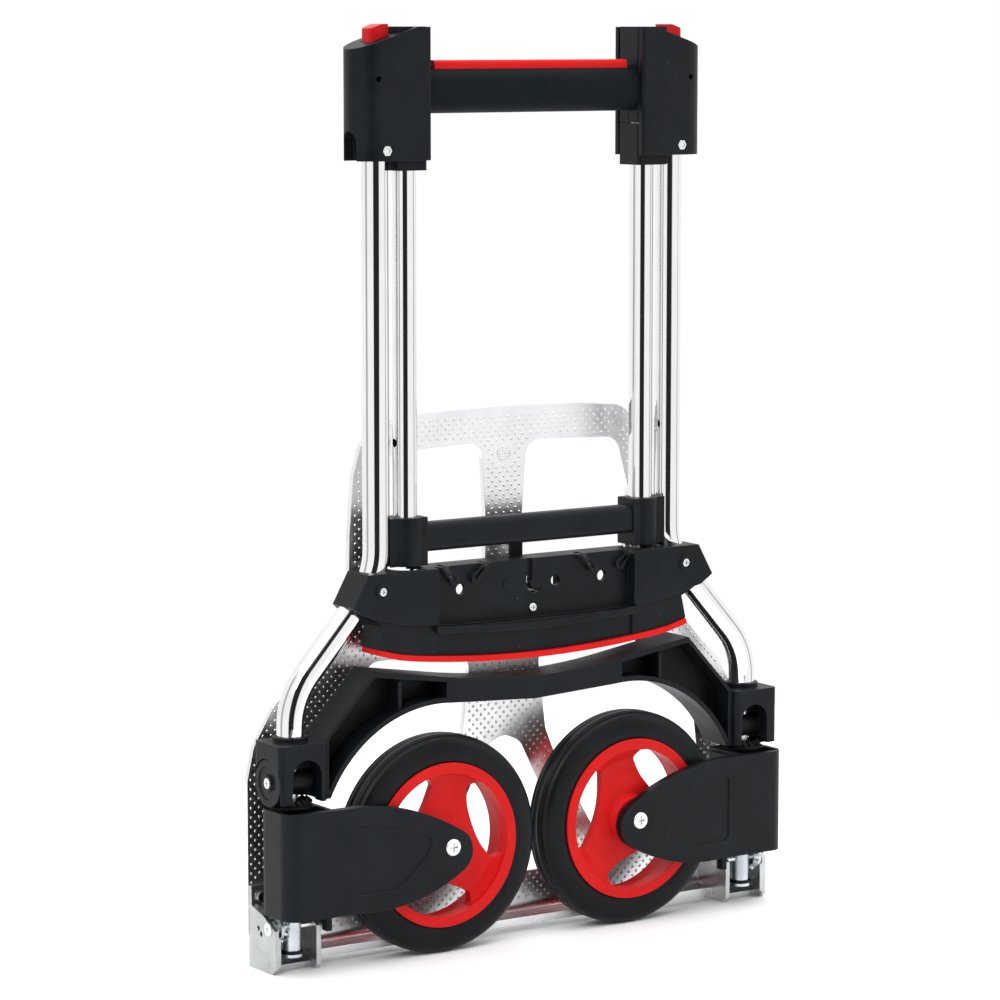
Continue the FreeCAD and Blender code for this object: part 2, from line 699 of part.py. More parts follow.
def bevel_gear(pitch_r, face, teeth, half, height, back_r, back_h, bore_r, phase):
    """Straight 45-degree bevel gear: apex at the origin, axis +Z, body above the pitch cone."""
    inner_r_at = pitch_r - face
    root = height * 0.62
    tip = height * 0.5

    def on_cone(radius, lift):
        step = lift / math.sqrt(2)
        return (radius + step, radius - step)

    ri, zi = on_cone(inner_r_at, -root)
    ro, zo = on_cone(pitch_r, -root)
    profile = [vec(bore_r, 0, zi), vec(ri, 0, zi), vec(ro, 0, zo), vec(back_r, 0, zo + 1.2),
               vec(back_r, 0, back_h), vec(bore_r, 0, back_h), vec(bore_r, 0, zi)]
    body = Part.Face(Part.makePolygon(profile)).revolve(vec(0, 0, 0), vec(0, 0, 1), 360)
    shapes = [body]
    for i in range(teeth):
        wires = []
        for radius, scale in ((inner_r_at, inner_r_at / pitch_r), (pitch_r, 1.0)):
            rr, zr = on_cone(radius, -root - 0.3)
            rt, zt = on_cone(radius, tip * scale)
            wr = half * scale * 1.25
            wt = half * scale * 0.6
            wires.append(Part.makePolygon([vec(rr, -wr, zr), vec(rr, wr, zr), vec(rt, wt, zt),
                                           vec(rt, -wt, zt), vec(rr, -wr, zr)]))
        tooth = Part.makeLoft(wires, True, True)
        tooth.rotate(vec(0, 0, 0), vec(0, 0, 1), phase + 360.0 * i / teeth)
        shapes.append(tooth)
    return shapes[0].fuse(shapes[1:]).removeSplitter()


def gear_down(gear, apex_z):
    """Place a gear with its body below the apex: its axis points down."""
    placed = gear.copy()
    placed.rotate(vec(0, 0, 0), vec(1, 0, 0), 180)
    placed.translate(vec(post_x, 0, apex_z))
    return placed


def gear_up(gear, apex_z):
    placed = gear.copy()
    placed.translate(vec(post_x, 0, apex_z))
    return placed


def gear_out(gear, apex_z):
    """Place a gear with its body outboard of the apex: its axis points along +X."""
    placed = gear.copy()
    placed.rotate(vec(0, 0, 0), vec(0, 1, 0), 90)
    placed.translate(vec(post_x, 0, apex_z))
    return placed


def arm_gear():
    gear = bevel_gear(low_pitch_r, 2.9, 12, tooth_half, tooth_height, 12.6, 14.4, post_r + 0.05, 0.0)
    return gear_up(gear, hinge_z)


def plate_gear():
    gear = bevel_gear(low_pitch_r, 2.9, 12, tooth_half, tooth_height, 10.6, 15.0, hinge_r + running_gap, 15.0)
    boss = rod_x(post_x + 14.0, ear_outer_x - ear_thick, 0, hinge_z, 6.0)
    bore = rod_x(post_x + 5.0, ear_outer_x, 0, hinge_z, hinge_r + running_gap)
    return cut(join(gear_out(gear, hinge_z), boss), bore)


def arm_top_gear():
    gear = bevel_gear(disc_pitch_r, 3.0, 18, tooth_half, tooth_height, 18.2, 21.0, post_r + 0.05, 0.0)
    return gear_down(gear, disc_axis_z)


def disc_gear():
    gear = bevel_gear(disc_pitch_r, 3.0, 18, tooth_half, tooth_height, disc_r, 21.0, 2.25, 10.0)
    disc = gear_out(gear, disc_axis_z)
    dish = rod_x(post_x + 20.2, post_x + 22.0, 0, disc_axis_z, 14.0)
    boss = rod_x(post_x + 11.9, post_x + 22.0, 0, disc_axis_z, 7.0)
    bore = rod_x(post_x + 10, post_x + 23.0, 0, disc_axis_z, 2.25)
    head_room = rod_x(post_x + 19.4, post_x + 23.0, 0, disc_axis_z, 4.6)
    return cut(join(cut(disc, dish), boss), bore, head_room)


def disc_screw():
    head_x = post_x + 19.5
    deep = 2.4
    slot_x = head_x + 1.3
    half = 0.45
    shank = rod_x(post_x + post_r + 1.2, head_x, 0, disc_axis_z, disc_screw_r)
    head = rod_x(head_x, head_x + deep, 0, disc_axis_z, 4.3)
    slot_a = box(slot_x, -2.4, disc_axis_z - half, post_x + 23, 2.4, disc_axis_z + half)
    slot_b = box(slot_x, -half, disc_axis_z - 2.4, post_x + 23, half, disc_axis_z + 2.4)
    return cut(join(shank, head), slot_a, slot_b)


# ---- wheel arms, axles and wheels ----

def arc_edge(points, y):
    first, middle, last = [vec(x, y, z) for x, z in points]
    return Part.Arc(first, middle, last).toShape()


def bullet_wing(y0, y1):
    """Plate that keeps the hub's height as far as the shoulder, then rounds down to a blunt tip."""
    root_x = corner_in_x + 10.0
    lean = math.radians(55.0)
    reach_x = tip_r * math.cos(lean)
    reach_z = tip_r * math.sin(lean)
    top = (tip_x - reach_x, tip_z + reach_z)
    low = (tip_x - reach_x, tip_z - reach_z)
    upper = [(wing_shoulder_x, arm_high_z), (128.0, 123.5), top]
    lower = [low, (122.0, 52.3), (wing_shoulder_x, arm_low_z)]
    edges = [Part.LineSegment(vec(root_x, y0, arm_high_z), vec(wing_shoulder_x, y0, arm_high_z)).toShape(),
             arc_edge(upper, y0), arc_edge([top, (tip_x - tip_r, tip_z), low], y0), arc_edge(lower, y0),
             Part.LineSegment(vec(wing_shoulder_x, y0, arm_low_z), vec(root_x, y0, arm_low_z)).toShape(),
             Part.LineSegment(vec(root_x, y0, arm_low_z), vec(root_x, y0, arm_high_z)).toShape()]
    return Part.Face(Part.Wire(edges)).extrude(vec(0, y1 - y0, 0))


def wing_panel(y0, y1):
    """Shallow recess with a blunt point towards the tip."""
    outline = [(187.0, 119.5), (164.0, 117.5), (138.0, 111.0), (110.5, 100.0), (117.0, 87.0), (137.0, 68.0),
               (149.0, 61.5), (187.0, 61.5)]
    return smooth_prism(outline, y0, y1, 7.0)


def wheel_arm():
    hub = box(corner_in_x, arm_back_y, arm_low_z, corner_out_x, hub_front_y, arm_high_z)
    hub = fillet_where(hub, 14.0, lambda e: vertical_edge(e) and e.BoundBox.XMin > corner_out_x - 1)
    wing = bullet_wing(arm_back_y, arm_face_y)
    shelf = box(189.0, arm_face_y, arm_low_z + 3, corner_in_x, hub_front_y - 6, arm_high_z - 3)
    shelf_room = box(186.0, arm_face_y + 1.0, arm_low_z + 7, corner_in_x - 3, hub_front_y - 5, arm_high_z + 5)
    shelf = cut(shelf, shelf_room)
    rib_a = prism_yz([(arm_face_y, 60), (arm_face_y, arm_high_z - 4), (arm_face_y + 20, 60)], 192.0, 194.5)
    stop_lug = box(195.4, -13.6, arm_low_z - 16, 200.2, -6.0, arm_low_z + 4)
    body = join(hub, wing, shelf, rib_a, stop_lug)
    panel = wing_panel(arm_back_y - 1, arm_back_y + 1.2)
    bore = rod_z(arm_low_z - 1, arm_high_z + 1, post_x, 0, post_r + running_gap)
    low_gear_seat = rod_z(arm_low_z - 2, 50.4, post_x, 0, 12.6)
    lightening = [box(207.0, -28.0, 55.0, 243.0, -10.0, arm_high_z + 1),
                  box(207.0, 9.5, 55.0, 243.0, 13.0, arm_high_z + 1)]
    axle_hole = rod_y(arm_back_y - 1, arm_face_y + 1, wheel_x, wheel_z, 4.0)
    sink = Part.makeCone(7.2, 4.0, 3.4, vec(wheel_x, arm_back_y - 0.1, wheel_z), vec(0, 1, 0))
    body = cut(body, panel, low_gear_seat, axle_hole, sink, *lightening)
    return cut(join(body, arm_top_gear()), bore)


def axle():
    shaft = rod_y(arm_face_y, tyre_front_y + 1.0, wheel_x, wheel_z, axle_r)
    head = rod_y(tyre_front_y + 1.0, tyre_front_y + 4.0, wheel_x, wheel_z, 8.5)
    tapped = rod_y(arm_face_y - 1, arm_face_y + 14, wheel_x, wheel_z, 3.0)
    return cut(join(shaft, head), tapped)


def axle_screw():
    cone = Part.makeCone(7.1, 4.0, 3.3, vec(wheel_x, arm_back_y - 0.05, wheel_z), vec(0, 1, 0))
    dome = rod_y(arm_back_y - 1.5, arm_back_y - 0.05, wheel_x, wheel_z, 7.1)
    dome = fillet_where(dome, 1.2, lambda e: e.BoundBox.YMax < arm_back_y - 1.4)
    neck = rod_y(arm_back_y + 3.2, arm_face_y, wheel_x, wheel_z, 4.0)
    shank = rod_y(arm_face_y, arm_face_y + 13, wheel_x, wheel_z, 3.0)
    slot_a = box(wheel_x - 3.6, arm_back_y - 2, wheel_z - 0.7, wheel_x + 3.6, arm_back_y + 0.9, wheel_z + 0.7)
    slot_b = box(wheel_x - 0.7, arm_back_y - 2, wheel_z - 3.6, wheel_x + 0.7, arm_back_y + 0.9, wheel_z + 3.6)
    return cut(join(cone, dome, neck, shank), slot_a, slot_b)


def revolve_about_axle(points):
    """Revolve a closed (radius, y) outline about the wheel axis."""
    wire = Part.makePolygon([vec(wheel_x + r, y, wheel_z) for r, y in points + points[:1]])
    return Part.Face(wire).revolve(vec(wheel_x, 0, wheel_z), vec(0, 1, 0), 360)


def rim_window(angle):
    """Lens-shaped opening with rounded ends in the web of the rim."""
    inner_edge = 32.0
    side_r = 85.0
    half_long = 33.5
    outer = rod_y(-40, 20, wheel_x, wheel_z, 59.0)
    side = rod_y(-40, 20, wheel_x + inner_edge + side_r, wheel_z, side_r)
    ends = box(wheel_x + 20, -40, wheel_z - half_long, wheel_x + 70, 20, wheel_z + half_long)
    lens = outer.common(side).common(ends)
    lens = fillet_where(lens, 4.0, lambda e: e.BoundBox.XLength < 1e-6 and e.BoundBox.ZLength < 1e-6)
    lens.rotate(vec(wheel_x, 0, wheel_z), vec(0, 1, 0), -angle)
    return lens


def rim(first_angle):
    profile = [(11.0, -24.4), (17.0, -24.4), (20.0, -19.0), (38.0, -16.5), (50.0, -18.0), (57.5, -21.5),
               (58.5, -25.0), (67.5, -25.0), (67.5, 7.0), (63.0, 7.0), (62.0, -13.0), (44.0, -11.0),
               (20.0, -12.0), (17.0, -6.0), (17.0, 5.6), (11.0, 5.6)]
    body = revolve_about_axle(profile)
    shoulder = revolve_about_axle([(6.5, -16.4), (11.5, -16.4), (11.5, -2.4), (6.5, -2.4)])
    body = join(body, shoulder)
    spokes = []
    for i in range(3):
        rib = box(wheel_x + 16, -12.0, wheel_z - 1.5, wheel_x + 62.5, 2.0, wheel_z + 1.5)
        rib.rotate(vec(wheel_x, 0, wheel_z), vec(0, 1, 0), -(first_angle + 60 + 120 * i))
        spokes.append(rib)
    body = join(body, *spokes)
    return cut(body, *[rim_window(first_angle + 120 * i) for i in range(3)])


def tyre():
    mid_y = (tyre_back_y + tyre_front_y) / 2
    half = (tyre_front_y - tyre_back_y) / 2
    points = [(rim_r, mid_y - half + 1.0), (rim_r + 6, mid_y - half), (tyre_r - 9, mid_y - half + 0.6),
              (tyre_r - 4, mid_y - half + 3.0), (tyre_r - 1.2, mid_y - half + 6.8)]
    grooves = (-5.5, 0.0, 5.5)
    for place in grooves:
        lift = tyre_r - 0.1 * abs(place) / 5.5
        points.append((lift, mid_y + place - 1.3))
        points.append((lift - 1.4, mid_y + place - 0.6))
        points.append((lift - 1.4, mid_y + place + 0.6))
        points.append((lift, mid_y + place + 1.3))
    points += [(tyre_r - 1.2, mid_y + half - 6.8), (tyre_r - 4, mid_y + half - 3.0),
               (tyre_r - 9, mid_y + half - 0.6), (rim_r + 6, mid_y + half), (rim_r, mid_y + half - 1.0)]
    return revolve_about_axle(points)


def bearings():
    pair = []
    for start in bearing_starts:
        ring = rod_y(start, start + bearing_width, wheel_x, wheel_z, bearing_r)
        ring = ring.cut(rod_y(start - 1, start + bearing_width + 1, wheel_x, wheel_z, axle_r + running_gap))
        y0 = start - 0.1
        y1 = start + 0.7
        groove = revolve_about_axle([(7.0, y0), (9.2, y0), (9.2, y1), (7.0, y1)])
        pair.append(ring.cut(groove))
    return Part.Compound(pair)


# ---- toe plate and brackets ----

def toe_outline():
    half = [(0.0, 437.0), (70.0, 436.0), (118.0, 432.0), (138.0, 416.0), (146.0, 388.0), (150.0, 340.0),
            (151.0, 284.0), (205.0, 224.0), (222.0, 208.0), (240.0, 178.0), (246.6, 150.0), (246.6, 8.0)]
    return half + [(-x, z) for x, z in half[:0:-1]]


def smooth_prism(points, y0, y1, radius):
    """Prism over a closed outline whose corners are rounded as far as their sides allow."""
    count = len(points)
    flat = [vec(x, y0, z) for x, z in points]
    edges = []
    tangents = []
    for i in range(count):
        corner = flat[i]
        back = flat[i - 1] - corner
        ahead = flat[(i + 1) % count] - corner
        room = 0.45 * min(back.Length, ahead.Length)
        back_way = back.normalize()
        ahead_way = ahead.normalize()
        half = math.acos(max(-1.0, min(1.0, back_way.dot(ahead_way)))) / 2
        if half > math.radians(89.5):
            tangents.append((corner, None, corner))
            continue
        reach = min(radius / math.tan(half), room)
        true_r = reach * math.tan(half)
        middle_way = (back_way + ahead_way).normalize()
        centre = corner + middle_way * (true_r / math.sin(half))
        tangents.append((corner + back_way * reach, centre - middle_way * true_r, corner + ahead_way * reach))
    for i in range(count):
        first, middle, last = tangents[i]
        if middle is not None:
            edges.append(Part.Arc(first, middle, last).toShape())
        edges.append(Part.LineSegment(last, tangents[(i + 1) % count][0]).toShape())
    return Part.Face(Part.Wire(edges)).extrude(vec(0, y1 - y0, 0))


def toe_openings():
    """Outlines of the openings on the right half, then the one in the middle."""
    upper = [(22.0, 409.0), (114.0, 405.0), (127.0, 360.0), (122.0, 284.0), (19.0, 284.0), (18.0, 345.0)]
    side = [(33.0, 236.0), (128.0, 236.0), (196.0, 168.0), (202.0, 120.0), (190.0, 62.0), (98.0, 62.0),
            (52.0, 140.0), (42.0, 164.0)]
    middle = [(0.0, 163.0), (16.0, 156.0), (40.0, 110.0), (62.0, 62.0), (54.0, 44.0), (0.0, 44.0)]
    middle = middle + [(-x, z) for x, z in middle[-2:0:-1]]
    return [upper, side], middle


def offset_prism(points, y0, y1, radius, offset):
    """The same prism with its walls moved sideways: outwards if the offset is positive."""
    solid = smooth_prism(points, y0, y1, radius)
    face = min(solid.Faces, key=lambda f: f.CenterOfMass.y)
    wire = face.OuterWire.makeOffset2D(offset)
    return Part.Face(wire).extrude(vec(0, y1 - y0, 0))


def toe_bend():
    """Bend along the bottom of the sheet, its rearward flange and the lip under that."""
    centre_y = toe_back_y - toe_bend_r + toe_sheet
    in_r = toe_bend_r - toe_sheet
    mid = math.sqrt(0.5)
    flange_z = toe_bend_z - toe_bend_r
    face_y = toe_lip_y + toe_sheet

    def on_bend(radius, part):
        return vec(0, centre_y + radius * part, toe_bend_z - radius * part)

    inside_start = vec(0, centre_y, flange_z + toe_sheet)
    outside_end = vec(0, centre_y, flange_z)
    run = [outside_end, vec(0, face_y, flange_z), vec(0, face_y, toe_lip_z), vec(0, toe_lip_y, toe_lip_z),
           vec(0, toe_lip_y, flange_z + toe_sheet), inside_start]
    inside_end = vec(0, toe_back_y, toe_bend_z)
    outside_start = vec(0, toe_back_y + toe_sheet, toe_bend_z)
    edges = [Part.LineSegment(inside_end, outside_start).toShape(),
             Part.Arc(outside_start, on_bend(toe_bend_r, mid), outside_end).toShape()]
    edges += [Part.LineSegment(a, b).toShape() for a, b in zip(run, run[1:])]
    edges.append(Part.Arc(inside_start, on_bend(in_r, mid), inside_end).toShape())
    bend = Part.Face(Part.Wire(edges)).extrude(vec(2 * toe_bend_half_x, 0, 0))
    bend.translate(vec(-toe_bend_half_x, 0, 0))
    return bend


def toe_plate():
    """Pressed sheet with its rim and the rims of its openings turned to the front."""
    halves, middle = toe_openings()
    outlines = [middle] + halves + [[(-x, z) for x, z in outline] for outline in halves]
    outer = smooth_prism(toe_outline(), toe_back_y, toe_front_y, toe_corner_r)
    tray = offset_prism(toe_outline(), toe_back_y + toe_sheet, toe_front_y + 1, toe_corner_r, -toe_flange)
    windows = [smooth_prism(o, toe_back_y - 1, toe_front_y + 2, window_corner_r) for o in outlines]
    walls = [offset_prism(o, toe_back_y, toe_front_y, window_corner_r, toe_flange) for o in outlines]
    body = outer.cut(tray).fuse(walls).cut(windows)
    body = body.cut(box(-250, toe_back_y - 1, -1, 250, toe_front_y + 1, toe_bend_z))
    side_in_x = toe_bend_half_x
    side_out_x = ear_outer_x - 0.4
    low_side = box(side_in_x, toe_back_y, 8.0, side_out_x, toe_back_y + toe_sheet, toe_bend_z)
    rivet_holes = [rod_y(toe_back_y - 1, toe_front_y + 1, side * x, rivet_z, rivet_r)
                   for side in (-1, 1) for x in rivet_xs]
    return body.fuse([toe_bend()] + both_sides(low_side)).cut(rivet_holes).removeSplitter()


def ear_face_points():
    return [(toe_back_y, 0.0), (toe_back_y, 66.0), (toe_back_y - 3.5, 66.0), (toe_back_y - 4.0, 50.0),
            (6.0, 43.6), (ear_back_y, 36.0), (ear_back_y, 4.0), (ear_back_y + 4, 0.0)]


def bracket():
    """Cast bracket: two ears with the hinge bore, a floor web and a wall riveted to the plate."""
    wall = 3.5
    rim = 3.0
    rim_reach = 2.0
    ear_in_x = ear_outer_x - ear_thick
    outer = prism_yz(ear_face_points(), ear_in_x, ear_outer_x)
    inner = prism_yz(ear_face_points(), ear_inner_x, ear_inner_x + ear_thick)
    corner_cut = prism_yz([(ear_back_y - 1, hinge_z), (ear_back_y - 1, 60.0), (8.0, 60.0), (8.0, 44.4),
                           (0.0, 44.4), (-4.6, 43.0), (-7.6, 40.0)], 190, 260)
    web = box(ear_inner_x, 2.0, 0.0, ear_outer_x, toe_back_y, 5.0)
    back_wall = box(ear_inner_x, toe_back_y - wall, 0.0, ear_outer_x, toe_back_y, 66.0)
    rim_top = prism_yz([(toe_back_y - rim, 50.6), (toe_back_y - rim, 46.4), (6.0, 40.0), (6.0, 44.2)],
                       ear_in_x - rim_reach, ear_outer_x)
    rim_back = box(ear_in_x - rim_reach, ear_back_y, 6.0, ear_outer_x, ear_back_y + 3.6, 30.0)
    body = join(outer, inner, web, back_wall, rim_top, rim_back)
    hinge_bore = rod_x(190, 260, 0, hinge_z, hinge_r + running_gap)
    head_room = rod_x(190, ear_inner_x, 0, hinge_z, 5.4)
    slot = join(rod_x(240, 260, 12.0, 30.0, 2.2), rod_x(240, 260, 16.0, 34.0, 2.2))
    rivet_holes = [rod_y(toe_back_y - 6, toe_back_y + 1, x, rivet_z, rivet_r) for x in rivet_xs]
    mark = rod_x(ear_outer_x - 0.3, ear_outer_x + 1, -1.0, 6.5, 4.0)
    flange_room = box(190.0, toe_lip_y - 0.1, 3.0, ear_inner_x, toe_back_y, 12.0)
    return cut(body, hinge_bore, head_room, slot, mark, flange_room, corner_cut, *rivet_holes)


def bracket_rivets():
    rivets = []
    back_y = toe_back_y - 3.5
    front_y = toe_back_y + toe_sheet
    for x in rivet_xs:
        shank = rod_y(back_y, front_y, x, rivet_z, rivet_r)
        head = rod_y(back_y - 1.8, back_y, x, rivet_z, 4.5)
        tail = rod_y(front_y, front_y + 1.4, x, rivet_z, 3.8)
        rivets += both_sides(join(shank, head, tail))
    return Part.Compound(rivets)


def export(name, shape):
    if not shape.isValid():
        print("INVALID", name)
    solids = len(shape.Solids)
    box_of = shape.BoundBox
    print("%-26s solids %2d  X %7.1f %7.1f  Y %6.1f %6.1f  Z %6.1f %6.1f" % (
        name, solids, box_of.XMin, box_of.XMax, box_of.YMin, box_of.YMax, box_of.ZMin, box_of.ZMax))
    shape.exportStep("parts/%s.step" % name)


PAIRS = {
    "frame_tube": frame_tube,
    "housing_rear_shell": housing_rear_shell, "housing_front_shell": housing_front_shell,
    "release_button": release_button, "latch_pin": latch_pin,
    "button_spring": button_spring, "handle_end": handle_end, "inner_tube": inner_tube,
    "slider_block": slider_block, "corner_block": corner_block,
    "arm_gear": arm_gear, "disc_gear": disc_gear, "wheel_arm": wheel_arm,
    "axle": axle, "axle_screw": axle_screw,
    "tyre": tyre, "bearings": bearings, "bracket": bracket,
}
BOTH_SIDES = {
    "tube_plugs": tube_plug, "guide_bushes": guide_bush, "pivot_posts": pivot_post,
    "spacer_sleeves": spacer_sleeve, "hinge_bolts": hinge_bolt, "plate_gears": plate_gear,
    "housing_bolts": housing_bolt, "housing_nuts": housing_nut, "post_washers": post_washer,
    "disc_screws": disc_screw,
}
SINGLES = {
    "grip_core": grip_core, "grip_inlay": grip_inlay, "slider_bar": slider_bar,
    "handle_screws": handle_screws, "hook_plate": hook_plate, "bumper_strip": bumper_strip,
    "hook_plate_screws": hook_plate_screws, "hook_rivet": hook_rivet, "plate_catch": plate_catch,
    "cross_frame": cross_frame, "toe_plate": toe_plate, "bracket_rivets": bracket_rivets,
}
rim_angles = {"left": 159.0, "right": 165.0}


def main():
    os.makedirs("parts", exist_ok=True)
    for name, make in PAIRS.items():
        shape = make()
        for label, side in sides:
            export(name + "_" + label, mirrored(shape, side))
    for label, side in sides:
        export("rim_" + label, mirrored(rim(rim_angles[label]), side))
    for name, make in BOTH_SIDES.items():
        shape = make()
        export(name, Part.Compound([mirrored(shape, side) for label, side in sides]))
    for name, make in SINGLES.items():
        export(name, make())


main()
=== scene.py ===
import json
import math

import bmesh
import bpy
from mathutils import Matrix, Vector


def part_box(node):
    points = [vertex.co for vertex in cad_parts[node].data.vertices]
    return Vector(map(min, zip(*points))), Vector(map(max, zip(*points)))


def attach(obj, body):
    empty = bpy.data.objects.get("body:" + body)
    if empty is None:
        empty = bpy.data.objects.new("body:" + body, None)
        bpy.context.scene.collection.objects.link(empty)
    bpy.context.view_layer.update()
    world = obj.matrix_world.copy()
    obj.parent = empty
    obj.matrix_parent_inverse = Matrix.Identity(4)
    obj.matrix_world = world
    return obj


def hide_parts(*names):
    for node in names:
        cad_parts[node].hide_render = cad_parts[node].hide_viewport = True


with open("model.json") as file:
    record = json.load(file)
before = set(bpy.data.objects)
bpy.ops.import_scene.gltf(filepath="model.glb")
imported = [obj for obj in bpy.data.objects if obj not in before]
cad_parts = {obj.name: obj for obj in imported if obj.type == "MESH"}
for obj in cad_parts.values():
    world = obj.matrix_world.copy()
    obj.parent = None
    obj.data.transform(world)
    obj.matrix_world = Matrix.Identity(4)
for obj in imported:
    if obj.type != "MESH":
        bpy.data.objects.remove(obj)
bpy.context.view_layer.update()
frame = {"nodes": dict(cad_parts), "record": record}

nodes = frame["nodes"]
sides = {"left": -1.0, "right": 1.0}


def feed(tree, socket, value):
    if isinstance(value, bpy.types.NodeSocket):
        tree.links.new(value, socket)
    else:
        socket.default_value = value


def put(tree, kind, inputs=None, **settings):
    node = tree.nodes.new(kind)
    for name, value in settings.items():
        setattr(node, name, value)
    for key, value in (inputs or {}).items():
        feed(tree, node.inputs[key], value)
    return node


def calc(tree, operation, first, second=0.0, third=0.0):
    return put(tree, "ShaderNodeMath", {0: first, 1: second, 2: third}, operation=operation).outputs[0]


def lengthOf(tree, first, second):
    squares = [calc(tree, "MULTIPLY", side, side) for side in (first, second)]
    return calc(tree, "SQRT", calc(tree, "ADD", *squares))


def vectorMath(tree, operation, first, second=(0.0, 0.0, 0.0)):
    node = put(tree, "ShaderNodeVectorMath", {0: first, 1: second}, operation=operation)
    return node.outputs["Value" if operation in ("DOT_PRODUCT", "LENGTH", "DISTANCE") else "Vector"]


def mapRange(tree, value, fromLow, fromHigh, toLow=0.0, toHigh=1.0, smooth=True):
    node = put(tree, "ShaderNodeMapRange", {"Value": value, "From Min": fromLow, "From Max": fromHigh,
                                            "To Min": toLow, "To Max": toHigh},
               interpolation_type="SMOOTHSTEP" if smooth else "LINEAR")
    return node.outputs["Result"]


def mixColor(tree, factor, first, second):
    node = put(tree, "ShaderNodeMix", {0: factor, 6: first, 7: second}, data_type="RGBA")
    return node.outputs[2]


def newGroup(name, kind, inputs, outputs):
    tree = bpy.data.node_groups.new(name, kind)
    for label, socketKind, default in inputs:
        socket = tree.interface.new_socket(label, in_out="INPUT", socket_type=socketKind)
        if default is not None:
            socket.default_value = default
    for label, socketKind in outputs:
        tree.interface.new_socket(label, in_out="OUTPUT", socket_type=socketKind)
    given = tree.nodes.new("NodeGroupInput").outputs
    result = tree.nodes.new("NodeGroupOutput").inputs
    return tree, given, result


def makeSoftEdge():
    tree, given, result = newGroup("softEdge", "ShaderNodeTree",
                                   [("Radius", "NodeSocketFloat", 0.0005)],
                                   [("Normal", "NodeSocketVector"), ("Mask", "NodeSocketFloat")])
    bevel = put(tree, "ShaderNodeBevel", {"Radius": given["Radius"]}, samples=6)
    geometry = put(tree, "ShaderNodeNewGeometry")
    facing = vectorMath(tree, "DOT_PRODUCT", bevel.outputs[0], geometry.outputs["Normal"])
    tree.links.new(bevel.outputs[0], result["Normal"])
    tree.links.new(mapRange(tree, facing, 0.995, 0.80), result["Mask"])
    return tree


def makeGrain():
    tree, given, result = newGroup("mouldGrain", "ShaderNodeTree",
                                   [("Vector", "NodeSocketVector", None),
                                    ("Scale", "NodeSocketFloat", 2200.0),
                                    ("Depth", "NodeSocketFloat", 0.00002),
                                    ("Normal", "NodeSocketVector", None)],
                                   [("Normal", "NodeSocketVector"), ("Mask", "NodeSocketFloat")])
    noise = put(tree, "ShaderNodeTexNoise", {"Vector": given["Vector"], "Scale": given["Scale"],
                                             "Detail": 3.0, "Roughness": 0.55})
    bump = put(tree, "ShaderNodeBump", {"Height": noise.outputs["Fac"], "Distance": given["Depth"],
                                        "Strength": 1.0, "Normal": given["Normal"]})
    tree.links.new(bump.outputs[0], result["Normal"])
    tree.links.new(noise.outputs["Fac"], result["Mask"])
    return tree


def makeSmudge():
    tree, given, result = newGroup("smudge", "ShaderNodeTree",
                                   [("Vector", "NodeSocketVector", None), ("Scale", "NodeSocketFloat", 22.0),
                                    ("Low", "NodeSocketFloat", 0.3), ("High", "NodeSocketFloat", 0.5)],
                                   [("Value", "NodeSocketFloat"), ("Mask", "NodeSocketFloat")])
    noise = put(tree, "ShaderNodeTexNoise", {"Vector": given["Vector"], "Scale": given["Scale"],
                                             "Detail": 5.0, "Roughness": 0.6, "Distortion": 0.4})
    mask = mapRange(tree, noise.outputs["Fac"], 0.32, 0.68)
    value = put(tree, "ShaderNodeMapRange", {"Value": mask, "To Min": given["Low"], "To Max": given["High"]})
    tree.links.new(value.outputs[0], result["Value"])
    tree.links.new(mask, result["Mask"])
    return tree


def makeBrushing():
    tree, given, result = newGroup("brushing", "ShaderNodeTree",
                                   [("Vector", "NodeSocketVector", None),
                                    ("Stretch", "NodeSocketVector", None),
                                    ("Depth", "NodeSocketFloat", 0.00001),
                                    ("Normal", "NodeSocketVector", None)],
                                   [("Normal", "NodeSocketVector"), ("Mask", "NodeSocketFloat")])
    run = vectorMath(tree, "MULTIPLY", given["Vector"], given["Stretch"])
    noise = put(tree, "ShaderNodeTexNoise", {"Vector": run, "Scale": 1.0, "Detail": 4.0, "Roughness": 0.65})
    bump = put(tree, "ShaderNodeBump", {"Height": noise.outputs["Fac"], "Distance": given["Depth"],
                                        "Strength": 1.0, "Normal": given["Normal"]})
    tree.links.new(bump.outputs[0], result["Normal"])
    tree.links.new(noise.outputs["Fac"], result["Mask"])
    return tree


def makeSpecks():
    tree, given, result = newGroup("specks", "ShaderNodeTree",
                                   [("Vector", "NodeSocketVector", None), ("Scale", "NodeSocketFloat", 90.0),
                                    ("Size", "NodeSocketFloat", 0.03)],
                                   [("Mask", "NodeSocketFloat")])
    cells = put(tree, "ShaderNodeTexVoronoi", {"Vector": given["Vector"], "Scale": given["Scale"],
                                               "Randomness": 1.0})
    near = calc(tree, "LESS_THAN", cells.outputs["Distance"], given["Size"])
    tint = put(tree, "ShaderNodeSeparateColor", {0: cells.outputs["Color"]})
    rare = calc(tree, "GREATER_THAN", tint.outputs[0], 0.6)
    tree.links.new(calc(tree, "MULTIPLY", near, rare), result["Mask"])
    return tree


softEdge = makeSoftEdge()
mouldGrain = makeGrain()
smudge = makeSmudge()
brushing = makeBrushing()
specks = makeSpecks()
print("surface effects ready")


def startMaterial(name, centre=(0.0, 0.0, 0.0)):
    material = bpy.data.materials.new(name)
    material.use_nodes = True
    tree = material.node_tree
    tree.nodes.clear()
    place = put(tree, "ShaderNodeTexCoord").outputs["Object"]
    if any(centre):
        shift = [-c for c in centre]
        place = put(tree, "ShaderNodeMapping", {"Vector": place, "Location": shift}).outputs[0]
    shader = put(tree, "ShaderNodeBsdfPrincipled")
    put(tree, "ShaderNodeOutputMaterial", {"Surface": shader.outputs[0]})
    return material, tree, place, shader


